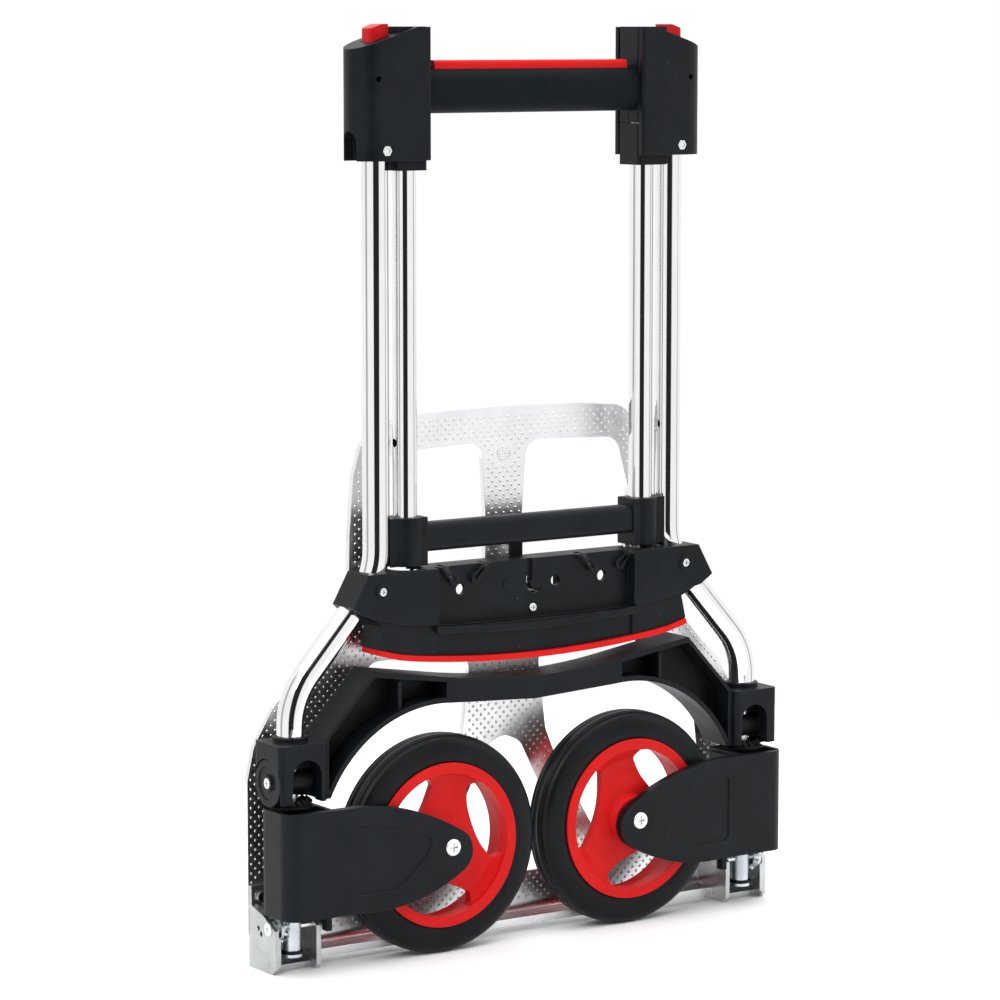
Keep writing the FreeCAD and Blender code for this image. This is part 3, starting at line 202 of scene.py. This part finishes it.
def fill(tree, group, inputs):
    return put(tree, "ShaderNodeGroup", inputs, node_tree=group).outputs


def setShader(tree, shader, **values):
    names = {"color": "Base Color", "roughness": "Roughness", "metallic": "Metallic", "normal": "Normal",
             "specular": "Specular IOR Level", "coat": "Coat Weight", "coatRoughness": "Coat Roughness"}
    for key, value in values.items():
        feed(tree, shader.inputs[names[key]], value)


dustColor = (0.45, 0.46, 0.47, 1.0)


def roughness(tree, place, scale, look):
    low, high = look["rough"]
    return fill(tree, smudge, {"Vector": place, "Scale": scale, "Low": low, "High": high})


def mouldedMaterial(name, look):
    material, tree, place, shader = startMaterial(name)
    edge = fill(tree, softEdge, {"Radius": look["edge"]})
    grain = fill(tree, mouldGrain, {"Vector": place, "Scale": look["grainScale"], "Depth": look["grainDepth"],
                                    "Normal": edge["Normal"]})
    rough = roughness(tree, place, 26.0, look)
    dust = fill(tree, specks, {"Vector": place, "Scale": 70.0, "Size": 0.03})
    tone = mixColor(tree, rough["Mask"], look["color"], look["shade"])
    # lighter bevel edges: partly rubbed wear, partly a painted highlight along the edges
    tone = mixColor(tree, calc(tree, "MULTIPLY", edge["Mask"], look["wornSheenAmount"]), tone, look["wornSheenTone"])
    tone = mixColor(tree, calc(tree, "MULTIPLY", dust["Mask"], look["dust"]), tone, dustColor)
    setShader(tree, shader, color=tone, roughness=rough["Value"], normal=grain["Normal"],
              specular=look["specular"], coat=look["coat"], coatRoughness=0.25)
    return material


def metalMaterial(name, look):
    material, tree, place, shader = startMaterial(name)
    edge = fill(tree, softEdge, {"Radius": look["edge"]})
    lines = fill(tree, brushing, {"Vector": place, "Stretch": look["stretch"], "Depth": look["lineDepth"],
                                  "Normal": edge["Normal"]})
    pits = fill(tree, mouldGrain, {"Vector": place, "Scale": look["pitScale"], "Depth": look["pitDepth"],
                                   "Normal": lines["Normal"]})
    rough = roughness(tree, place, 30.0, look)
    tone = mixColor(tree, rough["Mask"], look["color"], look["shade"])
    tone = mixColor(tree, calc(tree, "MULTIPLY", edge["Mask"], look["wornSheenAmount"]), tone, look["wornSheenTone"])
    setShader(tree, shader, color=tone, roughness=rough["Value"], metallic=1.0, normal=pits["Normal"])
    return material


blackLook = {"color": (0.0035, 0.0056, 0.0074, 1), "shade": (0.0070, 0.0094, 0.0118, 1),
             "wornSheenTone": (0.045, 0.049, 0.055, 1), "wornSheenAmount": 0.5, "edge": 0.0008, "rough": (0.38, 0.48),
             "grainScale": 1900.0, "grainDepth": 0.00003, "specular": 0.15, "coat": 0.0, "dust": 0.3}
gripLook = dict(blackLook, rough=(0.56, 0.66), grainDepth=0.00001, edge=0.0006, dust=0.2, specular=0.09)
redLook = {"color": (0.62, 0.008, 0.0075, 1), "shade": (0.56, 0.006, 0.006, 1), "wornSheenTone": (0.80, 0.05, 0.04, 1),
           "wornSheenAmount": 0.25, "edge": 0.0010, "rough": (0.34, 0.44), "grainScale": 900.0, "grainDepth": 0.00001,
           "specular": 0.13, "coat": 0.0, "dust": 0.12}
redSoftLook = dict(redLook, color=(0.70, 0.007, 0.007, 1), shade=(0.66, 0.006, 0.006, 1), rough=(0.44, 0.54),
                   edge=0.0008)
tubeLook = {"color": (0.90, 0.90, 0.90, 1), "shade": (0.86, 0.86, 0.865, 1), "wornSheenTone": (0.93, 0.93, 0.93, 1),
            "wornSheenAmount": 0.2, "edge": 0.0002, "rough": (0.045, 0.085), "stretch": (900.0, 900.0, 14.0),
            "lineDepth": 0.0000022, "pitScale": 400.0, "pitDepth": 0.0000012}
plateLook = {"color": (0.86, 0.87, 0.88, 1), "shade": (0.79, 0.80, 0.82, 1), "wornSheenTone": (0.90, 0.91, 0.92, 1),
             "wornSheenAmount": 0.6, "edge": 0.0006, "rough": (0.26, 0.36), "stretch": (1500.0, 1500.0, 30.0),
             "lineDepth": 0.000004, "pitScale": 260.0, "pitDepth": 0.000008}
castLook = {"color": (0.56, 0.575, 0.575, 1), "shade": (0.46, 0.475, 0.48, 1), "wornSheenTone": (0.80, 0.81, 0.82, 1),
            "wornSheenAmount": 0.7, "edge": 0.0009, "rough": (0.30, 0.44), "stretch": (180.0, 180.0, 120.0),
            "lineDepth": 0.00002, "pitScale": 1300.0, "pitDepth": 0.00004}
zincLook = {"color": (0.62, 0.67, 0.72, 1), "shade": (0.52, 0.57, 0.60, 1), "wornSheenTone": (0.85, 0.87, 0.90, 1),
            "wornSheenAmount": 0.6, "edge": 0.0003, "rough": (0.20, 0.34), "stretch": (120.0, 120.0, 1600.0),
            "lineDepth": 0.000008, "pitScale": 900.0, "pitDepth": 0.00001}
screwLook = dict(zincLook, color=(0.80, 0.82, 0.82, 1), shade=(0.70, 0.74, 0.75, 1), rough=(0.22, 0.34),
                 stretch=(300.0, 300.0, 300.0))
steelLook = dict(zincLook, color=(0.62, 0.62, 0.63, 1), shade=(0.5, 0.5, 0.51, 1), rough=(0.2, 0.3),
                 stretch=(200.0, 1500.0, 200.0))


tyreLook = {"color": (0.0048, 0.0053, 0.0065, 1), "shade": (0.0072, 0.0079, 0.0095, 1),
            "tread": (0.014, 0.015, 0.017, 1), "treadWear": 0.5, "dustColor": (0.3, 0.3, 0.3, 1), "dust": 0.3,
            "rough": (0.26, 0.36), "treadFrom": 0.0862, "treadTo": 0.0875, "ringTurns": 9000.0,
            "ribTurns": 7000.0, "lineDepth": 0.000012, "grainScale": 1200.0, "grainDepth": 0.00002,
            "edge": 0.0005, "specular": 0.12}


def tyreMaterial(name, centre, look):
    material, tree, place, shader = startMaterial(name, centre)
    parts = put(tree, "ShaderNodeSeparateXYZ", {0: place}).outputs
    radius = lengthOf(tree, parts[0], parts[2])
    rings = calc(tree, "SINE", calc(tree, "MULTIPLY", radius, look["ringTurns"]))
    ribs = calc(tree, "SINE", calc(tree, "MULTIPLY", parts[1], look["ribTurns"]))
    onTread = mapRange(tree, radius, look["treadFrom"], look["treadTo"])
    lines = calc(tree, "ADD", rings, calc(tree, "MULTIPLY", ribs, onTread))
    height = calc(tree, "MULTIPLY", lines, 0.5)
    edge = fill(tree, softEdge, {"Radius": look["edge"]})
    turned = put(tree, "ShaderNodeBump", {"Height": height, "Distance": look["lineDepth"],
                                          "Normal": edge["Normal"]})
    grain = fill(tree, mouldGrain, {"Vector": place, "Scale": look["grainScale"],
                                    "Depth": look["grainDepth"], "Normal": turned.outputs[0]})
    rough = roughness(tree, place, 18.0, look)
    dust = fill(tree, specks, {"Vector": place, "Scale": 80.0, "Size": 0.03})
    tone = mixColor(tree, rough["Mask"], look["color"], look["shade"])
    tone = mixColor(tree, calc(tree, "MULTIPLY", onTread, look["treadWear"]), tone, look["tread"])
    tone = mixColor(tree, calc(tree, "MULTIPLY", dust["Mask"], look["dust"]), tone, look["dustColor"])
    setShader(tree, shader, color=tone, roughness=rough["Value"], normal=grain["Normal"],
              specular=look["specular"])
    return material


# the far side of each pressed dimple shows as a small hollow
def plateMaterial(name, look, field):
    material = metalMaterial(name, look)
    tree = material.node_tree
    shader = next(n for n in tree.nodes if n.type == "BSDF_PRINCIPLED")
    place = put(tree, "ShaderNodeTexCoord").outputs["Object"]
    parts = put(tree, "ShaderNodeSeparateXYZ", {0: place}).outputs
    row = calc(tree, "DIVIDE", calc(tree, "SUBTRACT", parts[2], field["lowZ"]), field["rowPitch"])
    rowIndex = calc(tree, "ROUND", row)
    odd = calc(tree, "MODULO", calc(tree, "ABSOLUTE", rowIndex), 2.0)
    across = calc(tree, "SUBTRACT", calc(tree, "DIVIDE", parts[0], field["pitch"]),
                   calc(tree, "MULTIPLY", odd, 0.5))
    acrossOff = calc(tree, "MULTIPLY", calc(tree, "SUBTRACT", across, calc(tree, "ROUND", across)),
                     field["pitch"])
    upOff = calc(tree, "MULTIPLY", calc(tree, "SUBTRACT", row, rowIndex), field["rowPitch"])
    away = lengthOf(tree, acrossOff, upOff)
    hollow = mapRange(tree, away, field["radius"] * 0.25, field["radius"])
    facing = put(tree, "ShaderNodeSeparateXYZ", {0: put(tree, "ShaderNodeNewGeometry").outputs["Normal"]})
    front = mapRange(tree, facing.outputs[1], 0.7, 0.9)
    height = calc(tree, "MULTIPLY", hollow, front)
    before = shader.inputs["Normal"].links[0].from_socket
    bump = put(tree, "ShaderNodeBump", {"Height": height, "Distance": field["height"], "Normal": before})
    tree.links.new(bump.outputs[0], shader.inputs["Normal"])
    return material


dimples = {"pitch": 0.0076, "rowPitch": 0.0038, "radius": 0.0012, "height": 0.0007, "margin": 0.0030,
           "lowZ": 0.022, "highZ": 0.436, "halfX": 0.248}
materials = {
    "black_plastic": mouldedMaterial("blackMoulding", blackLook),
    "grip_black": mouldedMaterial("softBlackGrip", gripLook),
    "red_plastic": mouldedMaterial("redMoulding", redLook),
    "red_soft": mouldedMaterial("softRed", redSoftLook),
    "bright_tube": metalMaterial("platedTube", tubeLook),
    "dimpled_aluminium": plateMaterial("dimpledSheet", plateLook, dimples),
    "cast_aluminium": metalMaterial("castBracket", castLook),
    "zinc_steel": metalMaterial("zincSteel", zincLook),
    "zinc_screw": metalMaterial("zincScrew", screwLook),
    "plain_steel": metalMaterial("groundSteel", steelLook),
}
slotOf = {part["node"]: part["material_slot"] for part in frame["record"]["subparts"]}


def dress(name, material):
    piece = nodes[name]
    if not piece.material_slots:
        piece.data.materials.append(material)
    for slot in piece.material_slots:
        slot.material = material


for name in nodes:
    if slotOf[name] in materials:
        dress(name, materials[slotOf[name]])
for label in sides:
    low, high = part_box("tyre_" + label)
    dress("tyre_" + label, tyreMaterial("tyreRubber." + label, (low + high) / 2, tyreLook))
print("materials on", len(nodes), "parts")


# runs a tree on an empty mesh and keeps the result as a plain mesh
def grow(name, tree, values, body):
    seed = bpy.data.objects.new(name + ".seed", bpy.data.meshes.new(name + ".seed"))
    bpy.context.scene.collection.objects.link(seed)
    modifier = seed.modifiers.new("make", "NODES")
    modifier.node_group = tree
    for item in tree.interface.items_tree:
        if item.item_type == "SOCKET" and item.in_out == "INPUT" and item.name in values:
            modifier[item.identifier] = values[item.name]
    bpy.context.view_layer.update()
    evaluated = seed.evaluated_get(bpy.context.evaluated_depsgraph_get())
    mesh = bpy.data.meshes.new_from_object(evaluated)
    bpy.data.objects.remove(seed)
    return addPiece(name, mesh, body)


def addPiece(name, mesh, body, material=None, replaced=()):
    mesh.name = name
    piece = bpy.data.objects.new(name, mesh)
    bpy.context.scene.collection.objects.link(piece)
    if material is not None:
        mesh.materials.clear()
        mesh.materials.append(material)
    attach(piece, body)
    if replaced:
        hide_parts(*replaced)
    return piece


# domes on a staggered grid, kept only where every ray around a point meets the flat sheet
def dimpleTree(keepClear):
    tree, given, result = newGroup("pressedDimples", "GeometryNodeTree", [
        ("Plate", "NodeSocketObject", None), ("Finish", "NodeSocketMaterial", None),
        ("Columns", "NodeSocketInt", 10), ("Rows", "NodeSocketInt", 10),
        ("Pitch", "NodeSocketFloat", 0.0076), ("Row Pitch", "NodeSocketFloat", 0.0038),
        ("Low", "NodeSocketFloat", 0.0), ("Start", "NodeSocketFloat", 0.0),
        ("Surface", "NodeSocketFloat", 0.0), ("Radius", "NodeSocketFloat", 0.001),
        ("Height", "NodeSocketFloat", 0.0005), ("Margin", "NodeSocketFloat", 0.003)],
        [("Geometry", "NodeSocketGeometry")])
    count = calc(tree, "MULTIPLY", given["Columns"], given["Rows"])
    line = put(tree, "GeometryNodeMeshLine", {"Count": count, "Offset": (0.0, 0.0, 0.0)})
    index = put(tree, "GeometryNodeInputIndex").outputs[0]
    row = calc(tree, "FLOOR", calc(tree, "DIVIDE", calc(tree, "ADD", index, 0.5), given["Columns"]))
    column = calc(tree, "SUBTRACT", index, calc(tree, "MULTIPLY", row, given["Columns"]))
    middle = calc(tree, "DIVIDE", calc(tree, "SUBTRACT", given["Columns"], 1.0), 2.0)
    odd = calc(tree, "MULTIPLY", calc(tree, "MODULO", row, 2.0), 0.5)
    fromMiddle = calc(tree, "ADD", calc(tree, "SUBTRACT", column, middle), odd)
    x = calc(tree, "MULTIPLY", fromMiddle, given["Pitch"])
    z = calc(tree, "ADD", calc(tree, "MULTIPLY", row, given["Row Pitch"]), given["Low"])
    place = put(tree, "ShaderNodeCombineXYZ", {0: x, 1: given["Start"], 2: z}).outputs[0]
    grid = put(tree, "GeometryNodeSetPosition", {"Geometry": line.outputs[0], "Position": place})
    plate = put(tree, "GeometryNodeObjectInfo", {"Object": given["Plate"]})
    position = put(tree, "GeometryNodeInputPosition").outputs[0]
    keep = None
    for dx, dz in ((0, 0), (1, 0), (-1, 0), (0, 1), (0, -1), (0.7, 0.7), (-0.7, 0.7), (0.7, -0.7),
                   (-0.7, -0.7)):
        shift = put(tree, "ShaderNodeCombineXYZ", {0: calc(tree, "MULTIPLY", given["Margin"], float(dx)),
                                                   2: calc(tree, "MULTIPLY", given["Margin"], float(dz))})
        source = vectorMath(tree, "ADD", position, shift.outputs[0])
        ray = put(tree, "GeometryNodeRaycast", {"Target Geometry": plate.outputs["Geometry"],
                                                "Source Position": source, "Ray Direction": (0.0, 1.0, 0.0),
                                                "Ray Length": 0.1})
        hitY = put(tree, "ShaderNodeSeparateXYZ", {0: ray.outputs["Hit Position"]}).outputs[1]
        offSheet = calc(tree, "ABSOLUTE", calc(tree, "SUBTRACT", hitY, given["Surface"]))
        flat = calc(tree, "LESS_THAN", offSheet, 0.0002)
        good = calc(tree, "MULTIPLY", flat, ray.outputs["Is Hit"])
        keep = good if keep is None else calc(tree, "MULTIPLY", keep, good)
    for spot, reach in keepClear:
        far = calc(tree, "GREATER_THAN", vectorMath(tree, "DISTANCE", position, spot), reach)
        keep = calc(tree, "MULTIPLY", keep, far)
    dropped = calc(tree, "LESS_THAN", keep, 0.5)
    kept = put(tree, "GeometryNodeDeleteGeometry", {0: grid.outputs[0], 1: dropped})
    dome = put(tree, "GeometryNodeMeshUVSphere", {"Segments": 8, "Rings": 4, "Radius": 1.0})
    size = put(tree, "ShaderNodeCombineXYZ", {0: given["Radius"], 1: given["Height"], 2: given["Radius"]})
    toSurface = put(tree, "ShaderNodeCombineXYZ",
                    {1: calc(tree, "SUBTRACT", given["Surface"], given["Start"])}).outputs[0]
    seated = put(tree, "GeometryNodeSetPosition", {"Geometry": kept.outputs[0], "Offset": toSurface})
    spread = put(tree, "GeometryNodeInstanceOnPoints",
                 {"Points": seated.outputs[0], "Instance": dome.outputs[0], "Scale": size.outputs[0]})
    real = put(tree, "GeometryNodeRealizeInstances", {0: spread.outputs[0]})
    smooth = put(tree, "GeometryNodeSetShadeSmooth", {0: real.outputs[0]})
    final = put(tree, "GeometryNodeSetMaterial", {0: smooth.outputs[0], "Material": given["Finish"]})
    tree.links.new(final.outputs[0], result["Geometry"])
    return tree


sheetY = 0.031  # face of the sheet that looks back
startY = sheetY - 0.001
medallion = {"spot": (0.0, sheetY, 0.398), "radius": 0.0068, "band": 0.0009, "height": 0.0003,
             "dotRings": ((0, 1), (1, 6), (2, 12)), "ringStep": 0.0024, "dotRadius": 0.0009}
roundMark = {"x": 0.116, "z": 0.4155, "radius": 0.006, "band": 0.0007, "height": 0.00025}
brackets = {"xs": (0.212, 0.232), "zs": (0.020, 0.038, 0.056), "reach": 0.016}
markSpots = {label: (side * roundMark["x"], sheetY, roundMark["z"]) for label, side in sides.items()}


def clearSpots(room=0.002):
    spots = [(medallion["spot"], medallion["radius"] + room)]
    spots += [(spot, roundMark["radius"] + room) for spot in markSpots.values()]
    spots += [((side * x, sheetY, z), brackets["reach"])
              for x in brackets["xs"] for z in brackets["zs"] for side in sides.values()]
    return [((x, startY, z), reach) for (x, y, z), reach in spots]


columns = 2 * int(dimples["halfX"] / dimples["pitch"]) + 1
rows = int((dimples["highZ"] - dimples["lowZ"]) / dimples["rowPitch"])
grow("plateDimples", dimpleTree(clearSpots()), {
    "Plate": nodes["toe_plate"], "Finish": materials["dimpled_aluminium"], "Columns": columns, "Rows": rows,
    "Pitch": dimples["pitch"], "Row Pitch": dimples["rowPitch"], "Low": dimples["lowZ"], "Start": startY,
    "Surface": sheetY, "Radius": dimples["radius"], "Height": dimples["height"],
    "Margin": dimples["margin"]}, "toe")


# closed ring that stands off the sheet, its foot a little sunk
def ringMesh(bm, centre, outer, inner, height, steps=40, slope=0.0002, sink=-0.0001):
    loops = []
    for radius, lift in ((outer, sink), (outer - slope, height), (inner + slope, height), (inner, sink)):
        ring = []
        for i in range(steps):
            turn = 2 * math.pi * i / steps
            ring.append(bm.verts.new((centre[0] + radius * math.cos(turn), centre[1] - lift,
                                      centre[2] + radius * math.sin(turn))))
        loops.append(ring)
    for a, b in zip(loops, loops[1:] + loops[:1]):
        for i in range(steps):
            bm.faces.new((a[i], a[(i + 1) % steps], b[(i + 1) % steps], b[i]))


def dotMesh(bm, centre, radius, height):
    result = bmesh.ops.create_uvsphere(bm, u_segments=8, v_segments=5, radius=1.0)
    for vertex in result["verts"]:
        co = vertex.co
        vertex.co = Vector((centre[0] + co.x * radius, centre[1] + co.y * height, centre[2] + co.z * radius))


def finishMesh(bm, name):
    bmesh.ops.remove_doubles(bm, verts=bm.verts, dist=1e-7)
    bmesh.ops.recalc_face_normals(bm, faces=bm.faces)
    for face in bm.faces:
        face.smooth = True
    mesh = bpy.data.meshes.new(name)
    bm.to_mesh(mesh)
    bm.free()
    return mesh


def medallionMesh(shape):
    bm = bmesh.new()
    x, y, z = shape["spot"]
    ringMesh(bm, shape["spot"], shape["radius"], shape["radius"] - shape["band"], shape["height"])
    for ringIndex, count in shape["dotRings"]:
        reach = ringIndex * shape["ringStep"]
        for i in range(count):
            turn = 2 * math.pi * i / count
            spot = (x + reach * math.cos(turn), y, z + reach * math.sin(turn))
            dotMesh(bm, spot, shape["dotRadius"], shape["height"])
    return finishMesh(bm, "plateMedallion")


def markMesh(spot, shape):
    bm = bmesh.new()
    ringMesh(bm, spot, shape["radius"], shape["radius"] - shape["band"], shape["height"])
    return finishMesh(bm, "plateMark")


sheetFinish = materials["dimpled_aluminium"]
addPiece("plateMedallion", medallionMesh(medallion), "toe", sheetFinish)
for label, spot in markSpots.items():
    addPiece("plateMark." + label, markMesh(spot, roundMark), "toe", sheetFinish)
print("marks stamped")


tyreShape = {"rimRadius": 0.0675, "outerRadius": 0.0898, "squareness": 4.2, "profileSteps": 132, "turns": 168,
             "grooves": (-0.0062, 0.0, 0.0062), "grooveHalf": 0.0011, "grooveDepth": 0.0013,
             "bead": 0.0715, "beadDepth": 0.0005, "roundness": 3.0, "crown": 0.004, "grooveWall": 2.2}


def tyreProfile(shape, halfWidth):
    tall = shape["outerRadius"] - shape["rimRadius"]
    profile = []
    for i in range(shape["profileSteps"] + 1):
        angle = math.pi * i / shape["profileSteps"]
        c, s = math.cos(angle), math.sin(angle)
        across = math.copysign(abs(c) ** (2 / shape["squareness"]), c) * halfWidth
        radius = shape["rimRadius"] + tall * abs(s) ** (2 / shape["roundness"])
        for groove in shape["grooves"]:
            near = abs(across - groove) / shape["grooveHalf"]
            if near < 1 and radius > shape["outerRadius"] - shape["crown"]:
                radius -= shape["grooveDepth"] * min(1.0, shape["grooveWall"] * (1 - near))
        if radius < shape["bead"]:
            across *= 1 - shape["beadDepth"] / halfWidth
        profile.append((radius, across))
    return profile


def tyreMesh(name, centre, halfWidth, shape):
    profile = tyreProfile(shape, halfWidth)
    bm = bmesh.new()
    rings = []
    for k in range(shape["turns"]):
        turn = 2 * math.pi * k / shape["turns"]
        c, s = math.cos(turn), math.sin(turn)
        rings.append([bm.verts.new((centre[0] + radius * c, centre[1] + across, centre[2] + radius * s))
                      for radius, across in profile])
    for a, b in zip(rings, rings[1:] + rings[:1]):
        for i in range(len(profile)):
            j = (i + 1) % len(profile)
            bm.faces.new((a[i], a[j], b[j], b[i]))
    return finishMesh(bm, name)


for label in sides:
    low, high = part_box("tyre_" + label)
    centre = (low + high) / 2
    name = "tyre." + label
    mesh = tyreMesh(name, centre, (high.y - low.y) / 2, tyreShape)
    addPiece(name, mesh, "wheel_" + label,
             nodes["tyre_" + label].material_slots[0].material, ["tyre_" + label])
print("tyres turned")


wings = {"from": 0.1605, "keep": 0.60, "skirtTop": 0.276, "skirtFrom": 0.130, "skirtKeep": 0.58}


# narrower copy of a part: its ends are drawn in past a start, more so on the skirt
def drawnIn(name, shape):
    mesh = nodes[name].data.copy()
    bm = bmesh.new()
    bm.from_mesh(mesh)
    bmesh.ops.remove_doubles(bm, verts=bm.verts, dist=1e-6)
    for vertex in bm.verts:
        onSkirt = vertex.co.z < shape["skirtTop"]
        start, keep = (shape["skirtFrom"], shape["skirtKeep"]) if onSkirt else (shape["from"], shape["keep"])
        past = abs(vertex.co.x) - start
        if past > 0:
            vertex.co.x = math.copysign(start + past * keep, vertex.co.x)
    bm.to_mesh(mesh)
    bm.free()
    return mesh


for name, newName in (("hook_plate", "hookPlateShell"), ("bumper_strip", "bumperStrip")):
    slot = slotOf[name]
    addPiece(newName, drawnIn(name, wings), "frame", materials[slot], [name])
print("hook plate wings drawn in")


floorLook = {"radius": 1.1, "segments": 96, "color": (0.93, 0.93, 0.93, 1), "rough": (0.75, 0.85),
             "specular": 0.1}


def makeFloor(look):
    bm = bmesh.new()
    bmesh.ops.create_circle(bm, cap_ends=True, segments=look["segments"], radius=look["radius"])
    mesh = bpy.data.meshes.new("floor")
    bm.to_mesh(mesh)
    bm.free()
    floor = bpy.data.objects.new("floor", mesh)
    bpy.context.scene.collection.objects.link(floor)
    material, tree, place, shader = startMaterial("paleFloor")
    rough = roughness(tree, place, 2.0, look)
    setShader(tree, shader, color=look["color"], roughness=rough["Value"], specular=look["specular"])
    mesh.materials.append(material)


# white surround with upright dark cards by azimuth, brighter overhead
def makeWorld(look):
    world = bpy.data.worlds.new("studio")
    bpy.context.scene.world = world
    world.use_nodes = True
    tree = world.node_tree
    tree.nodes.clear()
    way = put(tree, "ShaderNodeTexCoord").outputs["Generated"]
    level = vectorMath(tree, "NORMALIZE", vectorMath(tree, "MULTIPLY", way, (1.0, 1.0, 0.0)))
    shade = 1.0
    for azimuth, halfWidth, soft, dark in look["cards"]:
        turn = math.radians(azimuth)
        aim = (math.sin(turn), math.cos(turn), 0.0)
        facing = vectorMath(tree, "DOT_PRODUCT", level, aim)
        inside = mapRange(tree, facing, math.cos(math.radians(halfWidth + soft)),
                          math.cos(math.radians(max(halfWidth - soft, 0.1))), 1.0, dark)
        shade = calc(tree, "MULTIPLY", shade, inside)
    up = put(tree, "ShaderNodeSeparateXYZ", {0: way}).outputs[2]
    shade = calc(tree, "MAXIMUM", shade, mapRange(tree, up, look["cardTop"], look["cardTop"] + 0.25))
    tone = mixColor(tree, shade, (0.0, 0.0, 0.0, 1), look["color"])
    brightness = mapRange(tree, up, look["glowFrom"], 1.0, look["strength"], look["glow"])
    background = put(tree, "ShaderNodeBackground", {"Color": tone, "Strength": brightness})
    put(tree, "ShaderNodeOutputWorld", {"Surface": background.outputs[0]})


def addLight(name, place, target, size, power):
    light = bpy.data.lights.new(name, "AREA")
    light.shape = "RECTANGLE"
    light.size, light.size_y = size
    light.energy = power
    lamp = bpy.data.objects.new(name, light)
    lamp.location = place
    lamp.rotation_euler = (Vector(target) - Vector(place)).to_track_quat("-Z", "Y").to_euler()
    bpy.context.scene.collection.objects.link(lamp)


def addSun(name, towards, spread, power):
    light = bpy.data.lights.new(name, "SUN")
    light.energy = power
    light.angle = math.radians(spread)
    lamp = bpy.data.objects.new(name, light)
    lamp.rotation_euler = Vector(towards).to_track_quat("Z", "Y").to_euler()
    bpy.context.scene.collection.objects.link(lamp)


camera = {"place": (-1.7286, -2.52676, 0.74518), "yaw": 33.994, "pitch": 7.129, "lens": 135.64}
cameraBack = camera["yaw"] + 180.0
studio = {"strength": 1.0, "glow": 2.2, "glowFrom": 0.62, "color": (1.0, 1.0, 1.0, 1), "cardTop": 0.55,
          "cards": [(cameraBack - 10.0, 21.0, 2.5, 0.02), (cameraBack - 98.0, 5.0, 2.0, 0.35),
                    (cameraBack + 75.0, 9.0, 3.0, 0.45)]}
makeFloor(floorLook)
makeWorld(studio)
addLight("keyLight", (-2.6, -1.6, 2.6), (0, 0, 0.35), (1.6, 1.6), 40.0)
addLight("fillLight", (2.6, -1.8, 1.6), (0, 0, 0.35), (1.2, 2.0), 12.0)
addLight("backLight", (0.4, 2.4, 2.2), (0, 0, 0.35), (2.4, 1.2), 6.0)
addSun("topLight", (0.25, -0.2, 1.0), 50.0, 0.35)

lens = bpy.data.cameras.new("camera")
lens.lens = camera["lens"]
lens.clip_end = 60.0
view = bpy.data.objects.new("camera", lens)
view.location = camera["place"]
view.rotation_euler = (math.radians(90.0 - camera["pitch"]), 0.0, -math.radians(camera["yaw"]))
bpy.context.scene.collection.objects.link(view)
bpy.context.scene.camera = view
bpy.context.scene.view_settings.view_transform = "Standard"
print("camera and light set")
